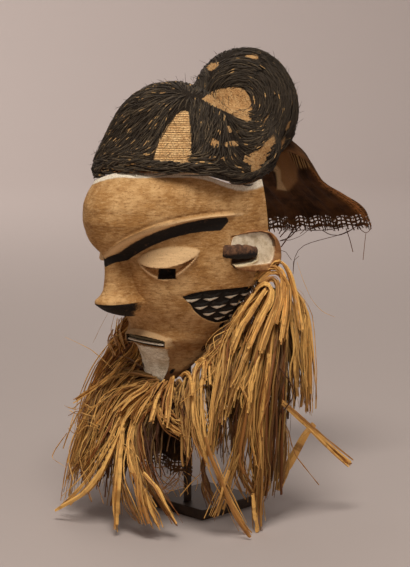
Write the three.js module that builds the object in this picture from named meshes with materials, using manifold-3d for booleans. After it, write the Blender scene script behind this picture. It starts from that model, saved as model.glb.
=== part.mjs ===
// A carved wooden face mask with a raffia hair cap, neck cloth and beard, on its plate-and-rod stand.
// Millimetres, +Z up. The face looks along -Y and +X is the face's own left side.
// The origin is the centre of the plate's underside.
import * as THREE from 'three'
import Module from 'manifold-3d'
import { mergeVertices } from 'three/addons/utils/BufferGeometryUtils.js'

const wasm = await Module()
wasm.setup()

// Driving sizes
const gap = 0.35              // clearance left between pieces that touch
const rimGap = 1.8            // the same between the wood's curved top and the cap's faceted edge
const plateWidth = 82
const plateLength = 90
const plateThickness = 12
const plateBevel = 1
const rodDiameter = 9
const rodY = -28              // the rod stands a little in front of the plate's middle
const rodTop = 338
const barDiameter = 7
const chinZ = 156             // lowest edge of the wood
const woodWall = 11
const roundness = 1.11        // how square a level section of the face is, 1 is a true ellipse
const browRise = 44
const browLow = 308           // height of the brow's point over the nose
const capWall = 7
const beardWall = 17
const floorClearance = 1
const clothThickness = 2.4
const sliver = 0.08           // facets thinner than this are merged away after the cuts

// A smooth curve through a few chosen points that never overshoots them (monotone cubic)
function curve(points) {
  const slopes = points.slice(1).map(([x, y], i) => (y - points[i][1]) / (x - points[i][0]))
  const tangents = points.map((_, i) => {
    const before = slopes[Math.max(0, i - 1)]
    const after = slopes[Math.min(slopes.length - 1, i)]
    return before * after <= 0 ? 0 : (2 * before * after) / (before + after)
  })
  return (x) => {
    let i = 0
    while (i < slopes.length - 1 && x > points[i + 1][0]) i += 1
    const span = points[i + 1][0] - points[i][0]
    const t = Math.min(1, Math.max(0, (x - points[i][0]) / span))
    const rise = points[i + 1][1] - points[i][1]
    const bend = tangents[i] * span * t * (1 - t) ** 2 - tangents[i + 1] * span * t * t * (1 - t)
    return points[i][1] + rise * t * t * (3 - 2 * t) + bend
  }
}

// The cap's swellings: low base, front roll, back roll and the saddle that joins them over the ears
const capCentre = new THREE.Vector3(0, 12, 428)
const rolls = [
  { centre: new THREE.Vector3(0, -40, 392), radii: new THREE.Vector3(94, 91, 55) },
  { centre: new THREE.Vector3(0, -50, 400), radii: new THREE.Vector3(88, 66, 90) },
  { centre: new THREE.Vector3(0, 63, 455), radii: new THREE.Vector3(64, 58, 70) },
  { centre: new THREE.Vector3(0, 5, 415), radii: new THREE.Vector3(84, 75, 52) },
]

const radians = THREE.MathUtils.degToRad
const mix = THREE.MathUtils.lerp
const smooth = (low, high, x) => THREE.MathUtils.smoothstep(x, low, high)

// The face is a stack of level sections: half width, rear rim and foremost line at each height
const halfWidth = curve([[155, 12], [160, 19], [168, 28], [178, 36], [190, 44], [206, 53], [226, 64],
  [250, 78], [280, 88], [310, 92], [350, 92], [405, 88]])
const rimY = curve([[155, -78], [165, -70], [178, -59], [188, -49], [200, -38], [231, -27], [280, -5],
  [326, 6], [370, 1], [405, -6]])
const cheekY = curve([[155, -74], [165, -79], [178, -80], [194, -88], [208, -97], [224, -99],
  [245, -110], [262, -118], [285, -124], [305, -128], [350, -133], [405, -120]])
const foreheadY = curve([[155, -74], [250, -112], [290, -128], [305, -144], [318, -154], [330, -161],
  [345, -166], [358, -165], [370, -159.5], [384, -146], [395, -132], [405, -118]])
const browZ = (angle) => browLow + browRise * Math.sin(Math.min(1.4 * Math.abs(angle), Math.PI / 2))
// Lower edge of the cap by compass turn from straight ahead: it dips at the temples, rides up at the
// back, and sits a little askew, lower on the face's right
const capEdge = curve([[-180, 430], [-150, 422], [-125, 388], [-93, 391], [-78, 384], [-20, 386], [5, 399],
  [34, 398], [64, 383.5], [93, 391], [125, 388], [150, 422], [180, 430]])

// Foremost line of a section, as it is seen in the direction of an angle from the middle.
// Under the brow the wood drops back in a hollow that runs out towards the temple.
function frontY(angle, z) {
  const under = browZ(angle) - z
  if (under <= 0) return foreheadY(z)
  const temple = smooth(58, 80, THREE.MathUtils.radToDeg(Math.abs(angle)))
  const hollow = 1 - (1 - Math.min(under / 12, 1)) ** 2.5
  const low = mix(cheekY(z), foreheadY(z), temple)
  const high = mix(foreheadY(browZ(angle)), foreheadY(z), temple)
  return mix(high, low, hollow)
}

// A point on the face, lifted off it along the section's outward direction
function skin(angle, z, lift = 0) {
  const depth = rimY(z) - frontY(angle, z)
  const outward = new THREE.Vector2(Math.sin(angle) * depth, -Math.cos(angle) * halfWidth(z)).normalize()
  const x = halfWidth(z) * Math.sin(angle)
  const y = rimY(z) - depth * Math.max(0, Math.cos(angle)) ** roundness
  return new THREE.Vector3(x + outward.x * lift, y + outward.y * lift, z)
}

// Top of the wood, a hair's breadth under the cap's edge above the same spot
function woodTop(angle) {
  const spot = skin(angle, 395)
  return capEdge(THREE.MathUtils.radToDeg(Math.atan2(spot.x, capCentre.y - spot.y)))
}

// A closed body from equal closed rings. An end is a fan round its middle, or where its ring runs out
// along one side and back along the other, as on a sheet, a strip across it.
function loft(rings, thin = false) {
  const count = rings[0].length
  const points = rings.flat()
  const faces = []
  for (let r = 0; r < rings.length - 1; r += 1) {
    for (let i = 0; i < count; i += 1) {
      const a = r * count + i
      const b = r * count + ((i + 1) % count)
      faces.push([a, b, b + count], [a, b + count, a + count])
    }
  }
  const ends = [{ start: 0, turned: true }, { start: (rings.length - 1) * count, turned: false }]
  for (const { start, turned } of ends) {
    const end = thin ? strip(start, count) : fan(points, start, count)
    faces.push(...end.map((face) => (turned ? face.reverse() : face)))
  }
  const sixth = ([a, b, c]) => points[a].dot(points[b].clone().cross(points[c]))
  const volume = faces.reduce((sum, face) => sum + sixth(face), 0)
  if (volume < 0) faces.forEach((face) => face.reverse())
  const geometry = new THREE.BufferGeometry().setFromPoints(points)
  geometry.setIndex(faces.flat())
  return geometry
}

function fan(points, start, count) {
  const ring = points.slice(start, start + count)
  const centre = ring.reduce((sum, p) => sum.add(p), new THREE.Vector3()).divideScalar(count)
  const hub = points.push(centre) - 1
  return ring.map((_, i) => [start + i, start + ((i + 1) % count), hub])
}

function strip(start, count) {
  return Array.from({ length: count / 2 - 1 }, (_, i) => {
    const [a, b, c, d] = [i, i + 1, count - 2 - i, count - 1 - i].map((n) => start + n)
    return [[a, b, c], [a, c, d]]
  }).flat()
}

function welded(geometry) {
  const bare = geometry.clone()
  bare.deleteAttribute('normal')
  bare.deleteAttribute('uv')
  return mergeVertices(bare, 1e-4)
}

function toSolid(geometry) {
  const merged = welded(geometry)
  const vertProperties = Float32Array.from(merged.attributes.position.array)
  const triVerts = Uint32Array.from(merged.index.array)
  return new wasm.Manifold(new wasm.Mesh({ numProp: 3, vertProperties, triVerts }))
}

const largest = (solid) => solid.decompose().sort((a, b) => b.volume() - a.volume())[0]

function toGeometry(solid) {
  const mesh = solid.getMesh()
  const geometry = new THREE.BufferGeometry()
  geometry.setAttribute('position', new THREE.BufferAttribute(Float32Array.from(mesh.vertProperties), 3))
  geometry.setIndex(Array.from(mesh.triVerts))
  return geometry
}

function steps(count, from = 0, to = 1) {
  return Array.from({ length: count + 1 }, (_, i) => mix(from, to, i / count))
}

const mirrored = (geometry) => {
  const copy = welded(geometry)
  copy.scale(-1, 1, 1)
  copy.setIndex(Array.from(copy.index.array).reverse())
  return copy
}
const bothSides = (geometry) => [geometry, mirrored(geometry)].map(toSolid)

// A raised or cutting patch over part of the face, between two edges that follow an angle
function patch({ from, to, columns, low, high, rows, top, under }) {
  const rings = steps(columns, from, to).map((degrees) => {
    const angle = radians(degrees)
    const lows = low(degrees)
    const highs = Math.max(high(degrees), lows + 0.05)
    const over = steps(rows).map((f) => skin(angle, mix(lows, highs, f), top(degrees, f)))
    const below = steps(rows, 1, 0).map((f) => skin(angle, mix(lows, highs, f), -under))
    return [...below, ...over]
  })
  return loft(rings, true)
}

// Outer body of the head, level sections with their back drawn straight between the rims
function headBody(grow) {
  const lift = (angle, z) => skin(angle, z, grow)
  const angles = steps(32, -90, 90).map(radians)
  const lower = [...steps(11, 0, 0.93), 0.965, 0.99, 1]
  const upper = [0.006, 0.1, 0.25, 0.42, 0.6, 0.8, 1]
  const rings = lower.map((v) => angles.map((a) => lift(a, mix(chinZ - grow, browZ(a), v))))
  upper.forEach((v) => rings.push(angles.map((a) => lift(a, mix(browZ(a), woodTop(a) - rimGap + grow, v)))))
  return loft(rings)
}

// The hollow behind the face, open at the back and at the top
function headHollow() {
  const backward = 60
  const rings = [...steps(7, chinZ + 14, 340), 358, 376, 412].map((z) => {
    const half = Math.max(6, halfWidth(z) - woodWall)
    const front = mix(cheekY(z), foreheadY(z), smooth(348, 388, z)) + woodWall
    const arc = steps(14, -90, 90).map(radians).map((a) => {
      const y = rimY(z) - (rimY(z) - front) * Math.max(0, Math.cos(a)) ** roundness
      return new THREE.Vector3(half * Math.sin(a), y, z)
    })
    const behind = [half, -half].map((x) => new THREE.Vector3(x, rimY(z) + backward, z))
    return [...arc, ...behind]
  })
  return loft(rings)
}

// Nose: a narrow bridge that sweeps out to a wide round rim over a bowl-shaped underside
function nose() {
  const halfBreadth = curve([[239, 7], [241.5, 13], [246, 18.5], [251, 21.5], [256, 23], [258, 22.5],
    [263, 17.5], [272, 12], [290, 8.5], [312, 7]])
  const tip = curve([[239, -124], [241.5, -134], [246, -146], [251, -154], [256, -159.5], [258, -159.5],
    [263, -155], [270, -151.5], [290, -150], [312, -151]])
  const heights = [239, 242.5, 248, 256, 258, 263, 271, 284, 311]
  const rings = heights.map((z) => {
    const back = cheekY(z) + 5
    const wing = mix(back, tip(z), 0.18)
    return steps(12, -90, 90).map(radians).map((a) => {
      const y = mix(wing, tip(z), Math.max(0, Math.cos(a)) ** 0.9)
      return new THREE.Vector3(halfBreadth(z) * Math.sin(a), Math.abs(Math.sin(a)) > 0.999 ? back : y, z)
    })
  })
  return loft(rings)
}

// Heavy upper lid, an almond that stands proud along its lower edge, and the fine lower lid
const eye = { inner: 13.8, outer: 49.6, innerZ: 303, outerZ: 312.5 }
const eyeShare = (degrees) => (degrees - eye.inner) / (eye.outer - eye.inner)
const eyeChord = (degrees) => mix(eye.innerZ, eye.outerZ, eyeShare(degrees))
const almond = (degrees) => Math.sin(Math.PI * Math.min(1, Math.max(0, eyeShare(degrees)))) ** 0.75

function upperLid() {
  return patch({
    from: eye.inner, to: eye.outer, columns: 8, rows: 2, under: 4,
    low: (d) => eyeChord(d) - 12 * almond(d),
    high: (d) => eyeChord(d) + 9.5 * almond(d),
    top: (d, f) => almond(d) * (1.2 + 5.8 * (1 - f) ** 0.8),
  })
}

function lowerLid() {
  const line = (d) => eyeChord(d) - 2 - 24.5 * Math.sin(Math.PI * eyeShare(d)) ** 0.85
  return patch({
    from: eye.inner + 1, to: eye.outer - 0.5, columns: 9, rows: 2, under: 3,
    low: (d) => line(d) - 1.6,
    high: (d) => line(d) + 1.6,
    top: (d, f) => 0.3 + 2.2 * Math.sin(Math.PI * f),
  })
}

// The slit under it is a pocket with a smaller sight hole through at its outer end
const pupilPocket = () => patch({
  from: 27, to: 36.6, columns: 2, rows: 1, under: 7, low: () => 284.2, high: () => 293, top: () => 12,
})
function sightHole() {
  const hole = new THREE.BoxGeometry(4.6, 60, 5)
  hole.translate(50.5, -90, 288.6)
  return hole
}

// Mouth: a projecting upper lip over a straight opening with a band of teeth set in it
const lipEdge = (degrees) => 222 - 0.011 * degrees ** 2
const mouthTop = (degrees) => 214.5 - 0.006 * degrees ** 2
const mouthBase = (degrees) => 202.5 + 0.001 * degrees ** 2
const upperLip = () => patch({
  from: -37, to: 37, columns: 12, rows: 2, under: 4, low: mouthTop, high: lipEdge,
  top: (d, f) => 1 + 8.5 * (1 - f) ** 0.8 * Math.cos(radians(d * 1.6)),
})
const mouthOpening = () => patch({
  from: -33, to: 33, columns: 8, rows: 1, under: 6, low: mouthBase, high: mouthTop, top: () => 4,
})
const teeth = () => patch({
  from: -33, to: 33, columns: 8, rows: 1, under: 8, top: (d, f) => -3.2 - 1.6 * f,
  low: (d) => mouthBase(d) + 2, high: (d) => mouthTop(d) - 2.5,
})

// Raised cheek ornament: a crescent bed with rows of chip-carved scales
const bed = { from: 41, to: 89, depth: 2.2 }
const bedShare = (degrees) => (degrees - bed.from) / (bed.to - bed.from)
const bedTop = (degrees) => 262.5 + 6.3 * Math.sin(Math.min(Math.PI / 2, 3 * bedShare(degrees)))
const bedFoot = (degrees) => {
  const drop = Math.sin((Math.PI / 2) * Math.min(1, bedShare(degrees) / 0.62)) ** 0.7
  return 262 - 30 * drop + 5 * smooth(0.75, 1, bedShare(degrees))
}
const scarBed = () => patch({
  from: bed.from, to: bed.to, columns: 10, rows: 4, under: bed.depth, low: bedFoot, high: bedTop,
  top: () => 5,
})

function scaleCut(degrees, z, width, height) {
  const corners = [[-width, height], [width, height], [0, -height]]
  const floor = corners.map(([d, h]) => skin(radians(degrees + d), z + h, 0.3 - bed.depth))
  const point = skin(radians(degrees), z + height * 0.5, -1.8 - bed.depth)
  return loft([floor.map((corner) => corner.clone().lerp(point, 0.85)), floor])
}

function scaleCuts() {
  const rows = [
    { z: 258.5, from: 47.5, count: 4 },
    { z: 250, from: 52.5, count: 4 },
    { z: 242, from: 58, count: 3 },
    { z: 236, from: 65, count: 2 },
  ]
  return rows.flatMap(({ z, from, count }) => steps(count - 1, 0, count - 1)
    .map((i) => scaleCut(from + 8.6 * i, z + 0.6 * i, 3.6, 2.6)))
}

// Ear: a flat C that stands off the temple, hollowed inside, with a peg across its mouth
function earOutline(inset) {
  const shape = new THREE.Shape()
  const front = -44 + inset
  const rear = 15 - inset
  const top = 331 - inset
  const foot = 287 + inset
  const bend = 17 - inset * 0.6
  shape.moveTo(front, top - 5)
  shape.lineTo(front + 14, top)
  shape.lineTo(rear - bend, top)
  shape.quadraticCurveTo(rear, top, rear, top - bend)
  shape.lineTo(rear, foot + bend * 0.7)
  shape.quadraticCurveTo(rear, foot, rear - bend * 0.7, foot)
  shape.lineTo(front + 14, foot + 1)
  shape.lineTo(front + 4, foot + 16)
  shape.closePath()
  return shape
}

function earPlate(inset, from, to) {
  const options = { depth: to - from, bevelEnabled: false, curveSegments: 3 }
  const geometry = new THREE.ExtrudeGeometry(earOutline(inset), options)
  geometry.applyMatrix4(new THREE.Matrix4().set(0, 0, 1, from, 1, 0, 0, 0, 0, 1, 0, 0, 0, 0, 0, 1))
  geometry.translate(-90, 0, -308)
  geometry.rotateZ(radians(-13))
  geometry.translate(90, 0, 308)
  return geometry
}

function earPeg() {
  const peg = new THREE.CylinderGeometry(5.5, 7, 34, 10)
  peg.scale(0.8, 1, 1.2)
  peg.rotateZ(radians(-13))
  peg.translate(93, -31, 310)
  return peg
}

// Holes along the rim that the beard is tied through
const lashingSpots = [[86, 280], [83, 252], [80, 226], [74, 200], [56, 178]]
function lashingHole([degrees, z]) {
  const angle = radians(degrees)
  const inside = skin(angle, z, -30)
  const outside = skin(angle, z, 12)
  const direction = outside.clone().sub(inside)
  const drill = new THREE.CylinderGeometry(2.4, 2.4, direction.length(), 6)
  const upright = new THREE.Vector3(0, 1, 0)
  drill.applyQuaternion(new THREE.Quaternion().setFromUnitVectors(upright, direction.normalize()))
  drill.translate(...inside.add(outside).multiplyScalar(0.5).toArray())
  return drill
}

function carvedFace() {
  const hollow = toSolid(headHollow())
  let face = toSolid(headBody(0))
  const raised = [nose(), upperLip()].map(toSolid)
  raised.push(...[upperLid(), lowerLid(), earPlate(0, 78, 102)].flatMap(bothSides))
  for (const solid of raised) face = face.add(solid)
  const paired = [pupilPocket(), sightHole(), scarBed(), earPlate(7, 94, 110), ...scaleCuts()]
  lashingSpots.forEach((spot) => paired.push(lashingHole(spot)))
  const cuts = [toSolid(mouthOpening()), ...paired.flatMap(bothSides)]
  for (const solid of cuts) face = face.subtract(solid)
  face = face.add(toSolid(teeth()))
  for (const peg of bothSides(earPeg())) face = face.add(peg)
  return face.subtract(hollow).simplify(sliver)
}

// Cap: a hollow bonnet with a low cross roll of hair in front and a tall one behind, which run into
// each other over the ears. All four swellings are seen from one point inside.
function rollReach({ centre, radii }, direction) {
  const offset = capCentre.clone().sub(centre).divide(radii)
  const scaled = direction.clone().divide(radii)
  const a = scaled.dot(scaled)
  const b = offset.dot(scaled)
  return (-b + Math.sqrt(b * b - a * (offset.dot(offset) - 1))) / a
}

function capReach(direction) {
  const blend = 14
  return rolls.reduce((sum, roll) => sum + rollReach(roll, direction) ** blend, 0) ** (1 / blend)
}

function capPoint(turn, share, inset) {
  const aim = (level) => {
    const flat = Math.cos(level)
    return new THREE.Vector3(Math.sin(turn) * flat, -Math.cos(turn) * flat, Math.sin(level))
  }
  const edge = capEdge(THREE.MathUtils.radToDeg(Math.atan2(Math.sin(turn), Math.cos(turn))))
  let edgeLevel = 0
  for (let i = 0; i < 20; i += 1) edgeLevel = Math.asin((edge - capCentre.z) / capReach(aim(edgeLevel)))
  const level = mix(edgeLevel, Math.PI / 2, share)
  return capCentre.clone().addScaledVector(aim(level), capReach(aim(level)) - inset)
}

function raffiaCap(grow) {
  const turns = steps(34, -Math.PI, Math.PI).slice(0, -1)
  const shares = [0, 0.11, 0.24, 0.37, 0.5, 0.62, 0.74, 0.86, 0.96]
  const outer = shares.map((share) => turns.map((turn) => capPoint(turn, share, -grow)))
  const inner = shares.map((share) => turns.map((turn) => capPoint(turn, share, capWall + grow)))
  outer[0].forEach((point) => point.setZ(point.z - grow))
  inner[0].forEach((point, i) => point.setZ(outer[0][i].z))
  return toSolid(loft([...inner.reverse(), ...outer]))
}

// A sheet with thickness, from its middle surface given over two shares
function sheet(point, columns, rows, thickness) {
  const rings = steps(columns).map((u) => {
    const column = steps(rows).map((v) => {
      const here = point(u, v)
      const across = point(u + 0.01, v).sub(point(u - 0.01, v))
      const down = point(u, v + 0.01).sub(point(u, v - 0.01))
      return { here, normal: across.cross(down).normalize().multiplyScalar(thickness / 2) }
    })
    const front = column.map(({ here, normal }) => here.clone().add(normal))
    const back = column.map(({ here, normal }) => here.clone().sub(normal)).reverse()
    return [...front, ...back]
  })
  return loft(rings, true)
}

// Neck cloth: falls from the cap's rear edge and stands away behind, drawn out to a corner on the left
const neckY = curve([[0, 85], [0.2, 118], [0.4, 147], [0.6, 180], [0.85, 221], [1, 237]])
const neckZ = curve([[0, 421], [0.2, 402], [0.4, 370], [0.6, 353], [0.85, 331], [1, 307]])
function neckClothPoint(u, v) {
  const arch = Math.sin(Math.PI * u)
  const flat = (share) => new THREE.Vector3(
    mix(mix(56, 50, share), mix(-68, -124, share), u),
    neckY(share) + 33 * arch * Math.max(0, 1 - share) ** 1.5 + 6 * share * Math.sin(u * Math.PI * 5),
    neckZ(share) + 9 * arch * (1 - share) - 20 * u * share,
  )
  const seam = flat(0)
  const edge = capPoint(Math.atan2(seam.x, capCentre.y - seam.y), 0, capWall / 2)
  edge.z -= gap + clothThickness / 2
  return flat(v).addScaledVector(edge.sub(seam), Math.max(0, 1 - v) ** 3)
}

function neckCloth() {
  const cloth = toSolid(sheet(neckClothPoint, 16, 5, clothThickness))
  return largest(cloth.subtract(raffiaCap(gap)))
}

// Inner cloth: a woven strip that hangs inside the beard from behind the chin
function innerClothPoint(u, v) {
  const x = mix(-58, 50, u)
  const wave = Math.sin(u * Math.PI * 4.5)
  const spread = mix(0.5, 1, Math.abs(v) ** 0.6)
  return new THREE.Vector3(x * spread, -58 - 17 * v + wave * (2 + 4 * v), mix(150, 58, v))
}

// Beard: raffia tied along the lower rim from ear to ear. Side runs from -1 at the right ear over the
// chin to 1 at the left ear. It stands on the floor in front and ends shorter towards the left.
const beardTurn = 118
const tieZ = curve([[0, 162], [0.18, 172], [0.36, 194], [0.6, 232], [0.85, 270], [1, 287]])
const tieX = curve([[0, 0], [0.18, 20], [0.36, 42], [0.6, 64], [0.85, 84], [1, 92]])
const tieY = curve([[0, -72], [0.18, -66], [0.36, -50], [0.6, -29], [0.85, -12], [1, 0]])
const footReach = curve([[-1, 116], [-0.6, 146], [-0.3, 157], [0, 136], [0.35, 125], [0.7, 112], [1, 98]])
const footZ = curve([[-1, 20], [-0.7, floorClearance], [-0.1, floorClearance], [0.15, 20], [0.4, 48],
  [0.7, 38], [1, 24]])
const swellReach = curve([[-1, 150], [-0.6, 152], [-0.3, 150], [0, 126], [0.35, 130], [0.7, 156],
  [1, 184]])
const swellZ = curve([[-1, 225], [-0.6, 200], [-0.3, 140], [0, 110], [0.35, 150], [0.7, 205], [1, 226]])

function beardPoint(side, v, inset) {
  const along = Math.abs(side)
  const turn = side * radians(beardTurn)
  const outward = new THREE.Vector3(Math.sin(turn), -Math.cos(turn), 0)
  const hub = (z) => new THREE.Vector3(0, -15, z)
  const tie = new THREE.Vector3(Math.sign(side) * tieX(along), tieY(along), tieZ(along))
  const swell = hub(swellZ(side)).addScaledVector(outward, swellReach(side))
  const foot = hub(footZ(side)).addScaledVector(outward, footReach(side))
  const w = 1 - v
  const point = tie.multiplyScalar(w * w).addScaledVector(swell, 2 * v * w).addScaledVector(foot, v * v)
  return point.addScaledVector(outward, -inset)
}

function raffiaBeard() {
  const rings = steps(22, -1, 1).map((side) => {
    const outer = steps(7).map((v) => beardPoint(side, v, 0))
    const inner = steps(7).map((v) => beardPoint(side, v, beardWall)).reverse()
    return [...outer, ...inner]
  })
  const trimmed = toSolid(loft(rings, true)).subtract(toSolid(headBody(gap))).subtract(toSolid(headHollow()))
  return largest(trimmed).simplify(sliver)
}

function basePlate() {
  const half = new THREE.Vector2(plateWidth / 2 - plateBevel, plateLength / 2 - plateBevel)
  const outline = new THREE.Shape([
    new THREE.Vector2(-half.x, -half.y), new THREE.Vector2(half.x, -half.y),
    new THREE.Vector2(half.x, half.y), new THREE.Vector2(-half.x, half.y),
  ])
  const depth = plateThickness - 2 * plateBevel
  const bevel = { bevelThickness: plateBevel, bevelSize: plateBevel, bevelSegments: 1 }
  const plate = new THREE.ExtrudeGeometry(outline, { depth, ...bevel })
  plate.translate(0, 0, plateBevel)
  return toSolid(plate)
}

// Rod with a cross bar whose ends bear on the wood's inner walls
function standRod() {
  const foot = plateThickness + gap
  const rod = new THREE.CylinderGeometry(rodDiameter / 2, rodDiameter / 2, rodTop - foot, 16)
  rod.rotateX(Math.PI / 2)
  rod.translate(0, rodY, (rodTop + foot) / 2)
  const barZ = rodTop - barDiameter
  const depth = rimY(barZ) - cheekY(barZ) - woodWall
  const squared = ((rimY(barZ) - rodY) / depth) ** (1 / roundness)
  const reach = (halfWidth(barZ) - woodWall) * Math.sqrt(1 - squared ** 2) - barDiameter * 0.2
  const bar = new THREE.CylinderGeometry(barDiameter / 2, barDiameter / 2, 2 * reach, 12)
  bar.rotateZ(Math.PI / 2)
  bar.translate(0, rodY, barZ)
  return toSolid(rod).add(toSolid(bar))
}

const finishes = {
  wood: { color: 0xb08a5c, roughness: 0.8, metalness: 0 },
  hair: { color: 0x1d1a17, roughness: 0.9, metalness: 0 },
  cloth: { color: 0x8a5f2e, roughness: 0.9, metalness: 0 },
  raffia: { color: 0xb8863b, roughness: 0.75, metalness: 0 },
  metal: { color: 0x231f1c, roughness: 0.45, metalness: 0.6 },
}

function part(name, solid, finish) {
  const mesh = new THREE.Mesh(toGeometry(solid), new THREE.MeshStandardMaterial(finishes[finish]))
  mesh.name = name
  return mesh
}

const mask = new THREE.Group()
mask.add(
  part('carved_face', carvedFace(), 'wood'),
  part('raffia_cap', raffiaCap(0), 'hair'),
  part('neck_cloth', neckCloth(), 'cloth'),
  part('inner_cloth', toSolid(sheet(innerClothPoint, 14, 4, clothThickness)), 'cloth'),
  part('raffia_beard', raffiaBeard(), 'raffia'),
  part('base_plate', basePlate(), 'metal'),
  part('stand_rod', standRod(), 'metal'),
)

export default mask
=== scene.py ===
# A carved face mask with its raffia cap, neck cloth and beard, on its stand.
# Millimetres until a piece is finished. The face looks along -Y, +X is its own left.
import math

import bmesh
import bpy
import numpy as np
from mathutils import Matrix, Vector


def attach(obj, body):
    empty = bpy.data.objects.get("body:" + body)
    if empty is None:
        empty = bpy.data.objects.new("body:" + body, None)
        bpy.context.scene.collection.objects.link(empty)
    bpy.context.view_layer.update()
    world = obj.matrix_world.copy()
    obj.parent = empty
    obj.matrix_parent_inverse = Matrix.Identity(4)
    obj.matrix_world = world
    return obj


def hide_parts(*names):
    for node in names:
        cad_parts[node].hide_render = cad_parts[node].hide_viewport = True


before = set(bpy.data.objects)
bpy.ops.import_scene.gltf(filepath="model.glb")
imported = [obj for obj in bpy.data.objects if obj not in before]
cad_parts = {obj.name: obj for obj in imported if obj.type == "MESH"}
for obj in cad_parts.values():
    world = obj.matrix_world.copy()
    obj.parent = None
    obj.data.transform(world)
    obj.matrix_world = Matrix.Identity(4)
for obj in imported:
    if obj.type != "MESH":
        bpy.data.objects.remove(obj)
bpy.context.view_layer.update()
scene = bpy.context.scene
print("frame loaded")


def mix(a, b, share):
    return a + (b - a) * share


def smooth(low, high, x):
    t = np.clip((x - low) / (high - low), 0, 1)
    return t * t * (3 - 2 * t)


def curve(points):  # a smooth line through a few chosen points that never overshoots them
    xs, ys = np.array(points, float).T
    slopes = np.diff(ys) / np.diff(xs)
    before = np.concatenate([slopes[:1], slopes])
    after = np.concatenate([slopes, slopes[-1:]])
    agree = before * after > 0
    tangents = np.where(agree, 2 * before * after / np.where(agree, before + after, 1), 0)

    def at(x):
        i = np.clip(np.searchsorted(xs, x) - 1, 0, len(slopes) - 1)
        span = xs[i + 1] - xs[i]
        t = np.clip((x - xs[i]) / span, 0, 1)
        bend = tangents[i] * span * t * (1 - t) ** 2 - tangents[i + 1] * span * t * t * (1 - t)
        return ys[i] + (ys[i + 1] - ys[i]) * t * t * (3 - 2 * t) + bend

    return at


def unit(v):
    return v / np.maximum(np.linalg.norm(v, axis=-1, keepdims=True), 1e-9)


def stack(*parts):
    return np.stack(np.broadcast_arrays(*parts), -1)


def polygonDistance(x, y, corners):  # positive inside
    corners = np.array(corners, float)
    nearest, inside = np.full(x.shape, 1e9), np.zeros(x.shape, bool)
    for (ax, ay), (bx, by) in zip(corners, np.roll(corners, -1, 0)):
        t = np.clip(((x - ax) * (bx - ax) + (y - ay) * (by - ay)) / ((bx - ax) ** 2 + (by - ay) ** 2), 0, 1)
        nearest = np.minimum(nearest, np.hypot(x - ax - t * (bx - ax), y - ay - t * (by - ay)))
        crosses = ((ay > y) != (by > y)) & (x < (bx - ax) * (y - ay) / (by - ay + 1e-12) + ax)
        inside ^= crosses
    return np.where(inside, nearest, -nearest)


# the camera, and where a place in the picture lies

cameraSettings = {"place": (1.356, -1.356, 0.568), "down": 9.1, "turn": 44.994, "lens": 108.53, "tall": 36.0}
pictureWidth, pictureHeight = 410, 567


def makeCamera(c):
    data = bpy.data.cameras.new("camera")
    data.sensor_fit = "VERTICAL"
    data.sensor_height = c["tall"]
    data.lens = c["lens"]
    camera = bpy.data.objects.new("camera", data)
    camera.location = c["place"]
    camera.rotation_euler = (math.radians(90 - c["down"]), 0, math.radians(c["turn"]))
    scene.collection.objects.link(camera)
    scene.camera = camera
    return camera


camera = makeCamera(cameraSettings)
cameraTurn = camera.rotation_euler.to_matrix()
pictureRight, pictureUp, pictureBack = (np.array(cameraTurn.col[i]) for i in range(3))
focal = pictureHeight * cameraSettings["lens"] / cameraSettings["tall"]
axisDepth = float(np.dot(np.array(cameraSettings["place"]), pictureBack)) * 1000


def inPicture(points):  # rows of picture x, y and millimetres towards the camera from the stand's middle
    x, y, near = np.array(points, float).T
    depth = axisDepth - near
    across = (x - pictureWidth / 2) / focal * depth
    down = (y - pictureHeight / 2) / focal * depth
    place = np.array(cameraSettings["place"]) * 1000
    return (place - depth[:, None] * pictureBack + across[:, None] * pictureRight
            - down[:, None] * pictureUp)


def toPicture(points):
    away = points - np.array(cameraSettings["place"]) * 1000
    depth = -away @ pictureBack
    return (pictureWidth / 2 + focal * (away @ pictureRight) / depth,
            pictureHeight / 2 - focal * (away @ pictureUp) / depth)


# materials


def linear(share):  # the light that a colour's part between 0 and 1 stands for
    return share / 12.92 if share < 0.04 else ((share + 0.055) / 1.055) ** 2.4


class Signal:
    def __init__(self, maker, socket):
        self.maker, self.socket = maker, socket

    def __add__(self, other):
        return self.maker.math("ADD", self, other)

    def __radd__(self, other):
        return self.maker.math("ADD", other, self)

    def __sub__(self, other):
        return self.maker.math("SUBTRACT", self, other)

    def __rsub__(self, other):
        return self.maker.math("SUBTRACT", other, self)

    def __mul__(self, other):
        return self.maker.math("MULTIPLY", self, other)

    def __rmul__(self, other):
        return self.maker.math("MULTIPLY", other, self)


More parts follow.
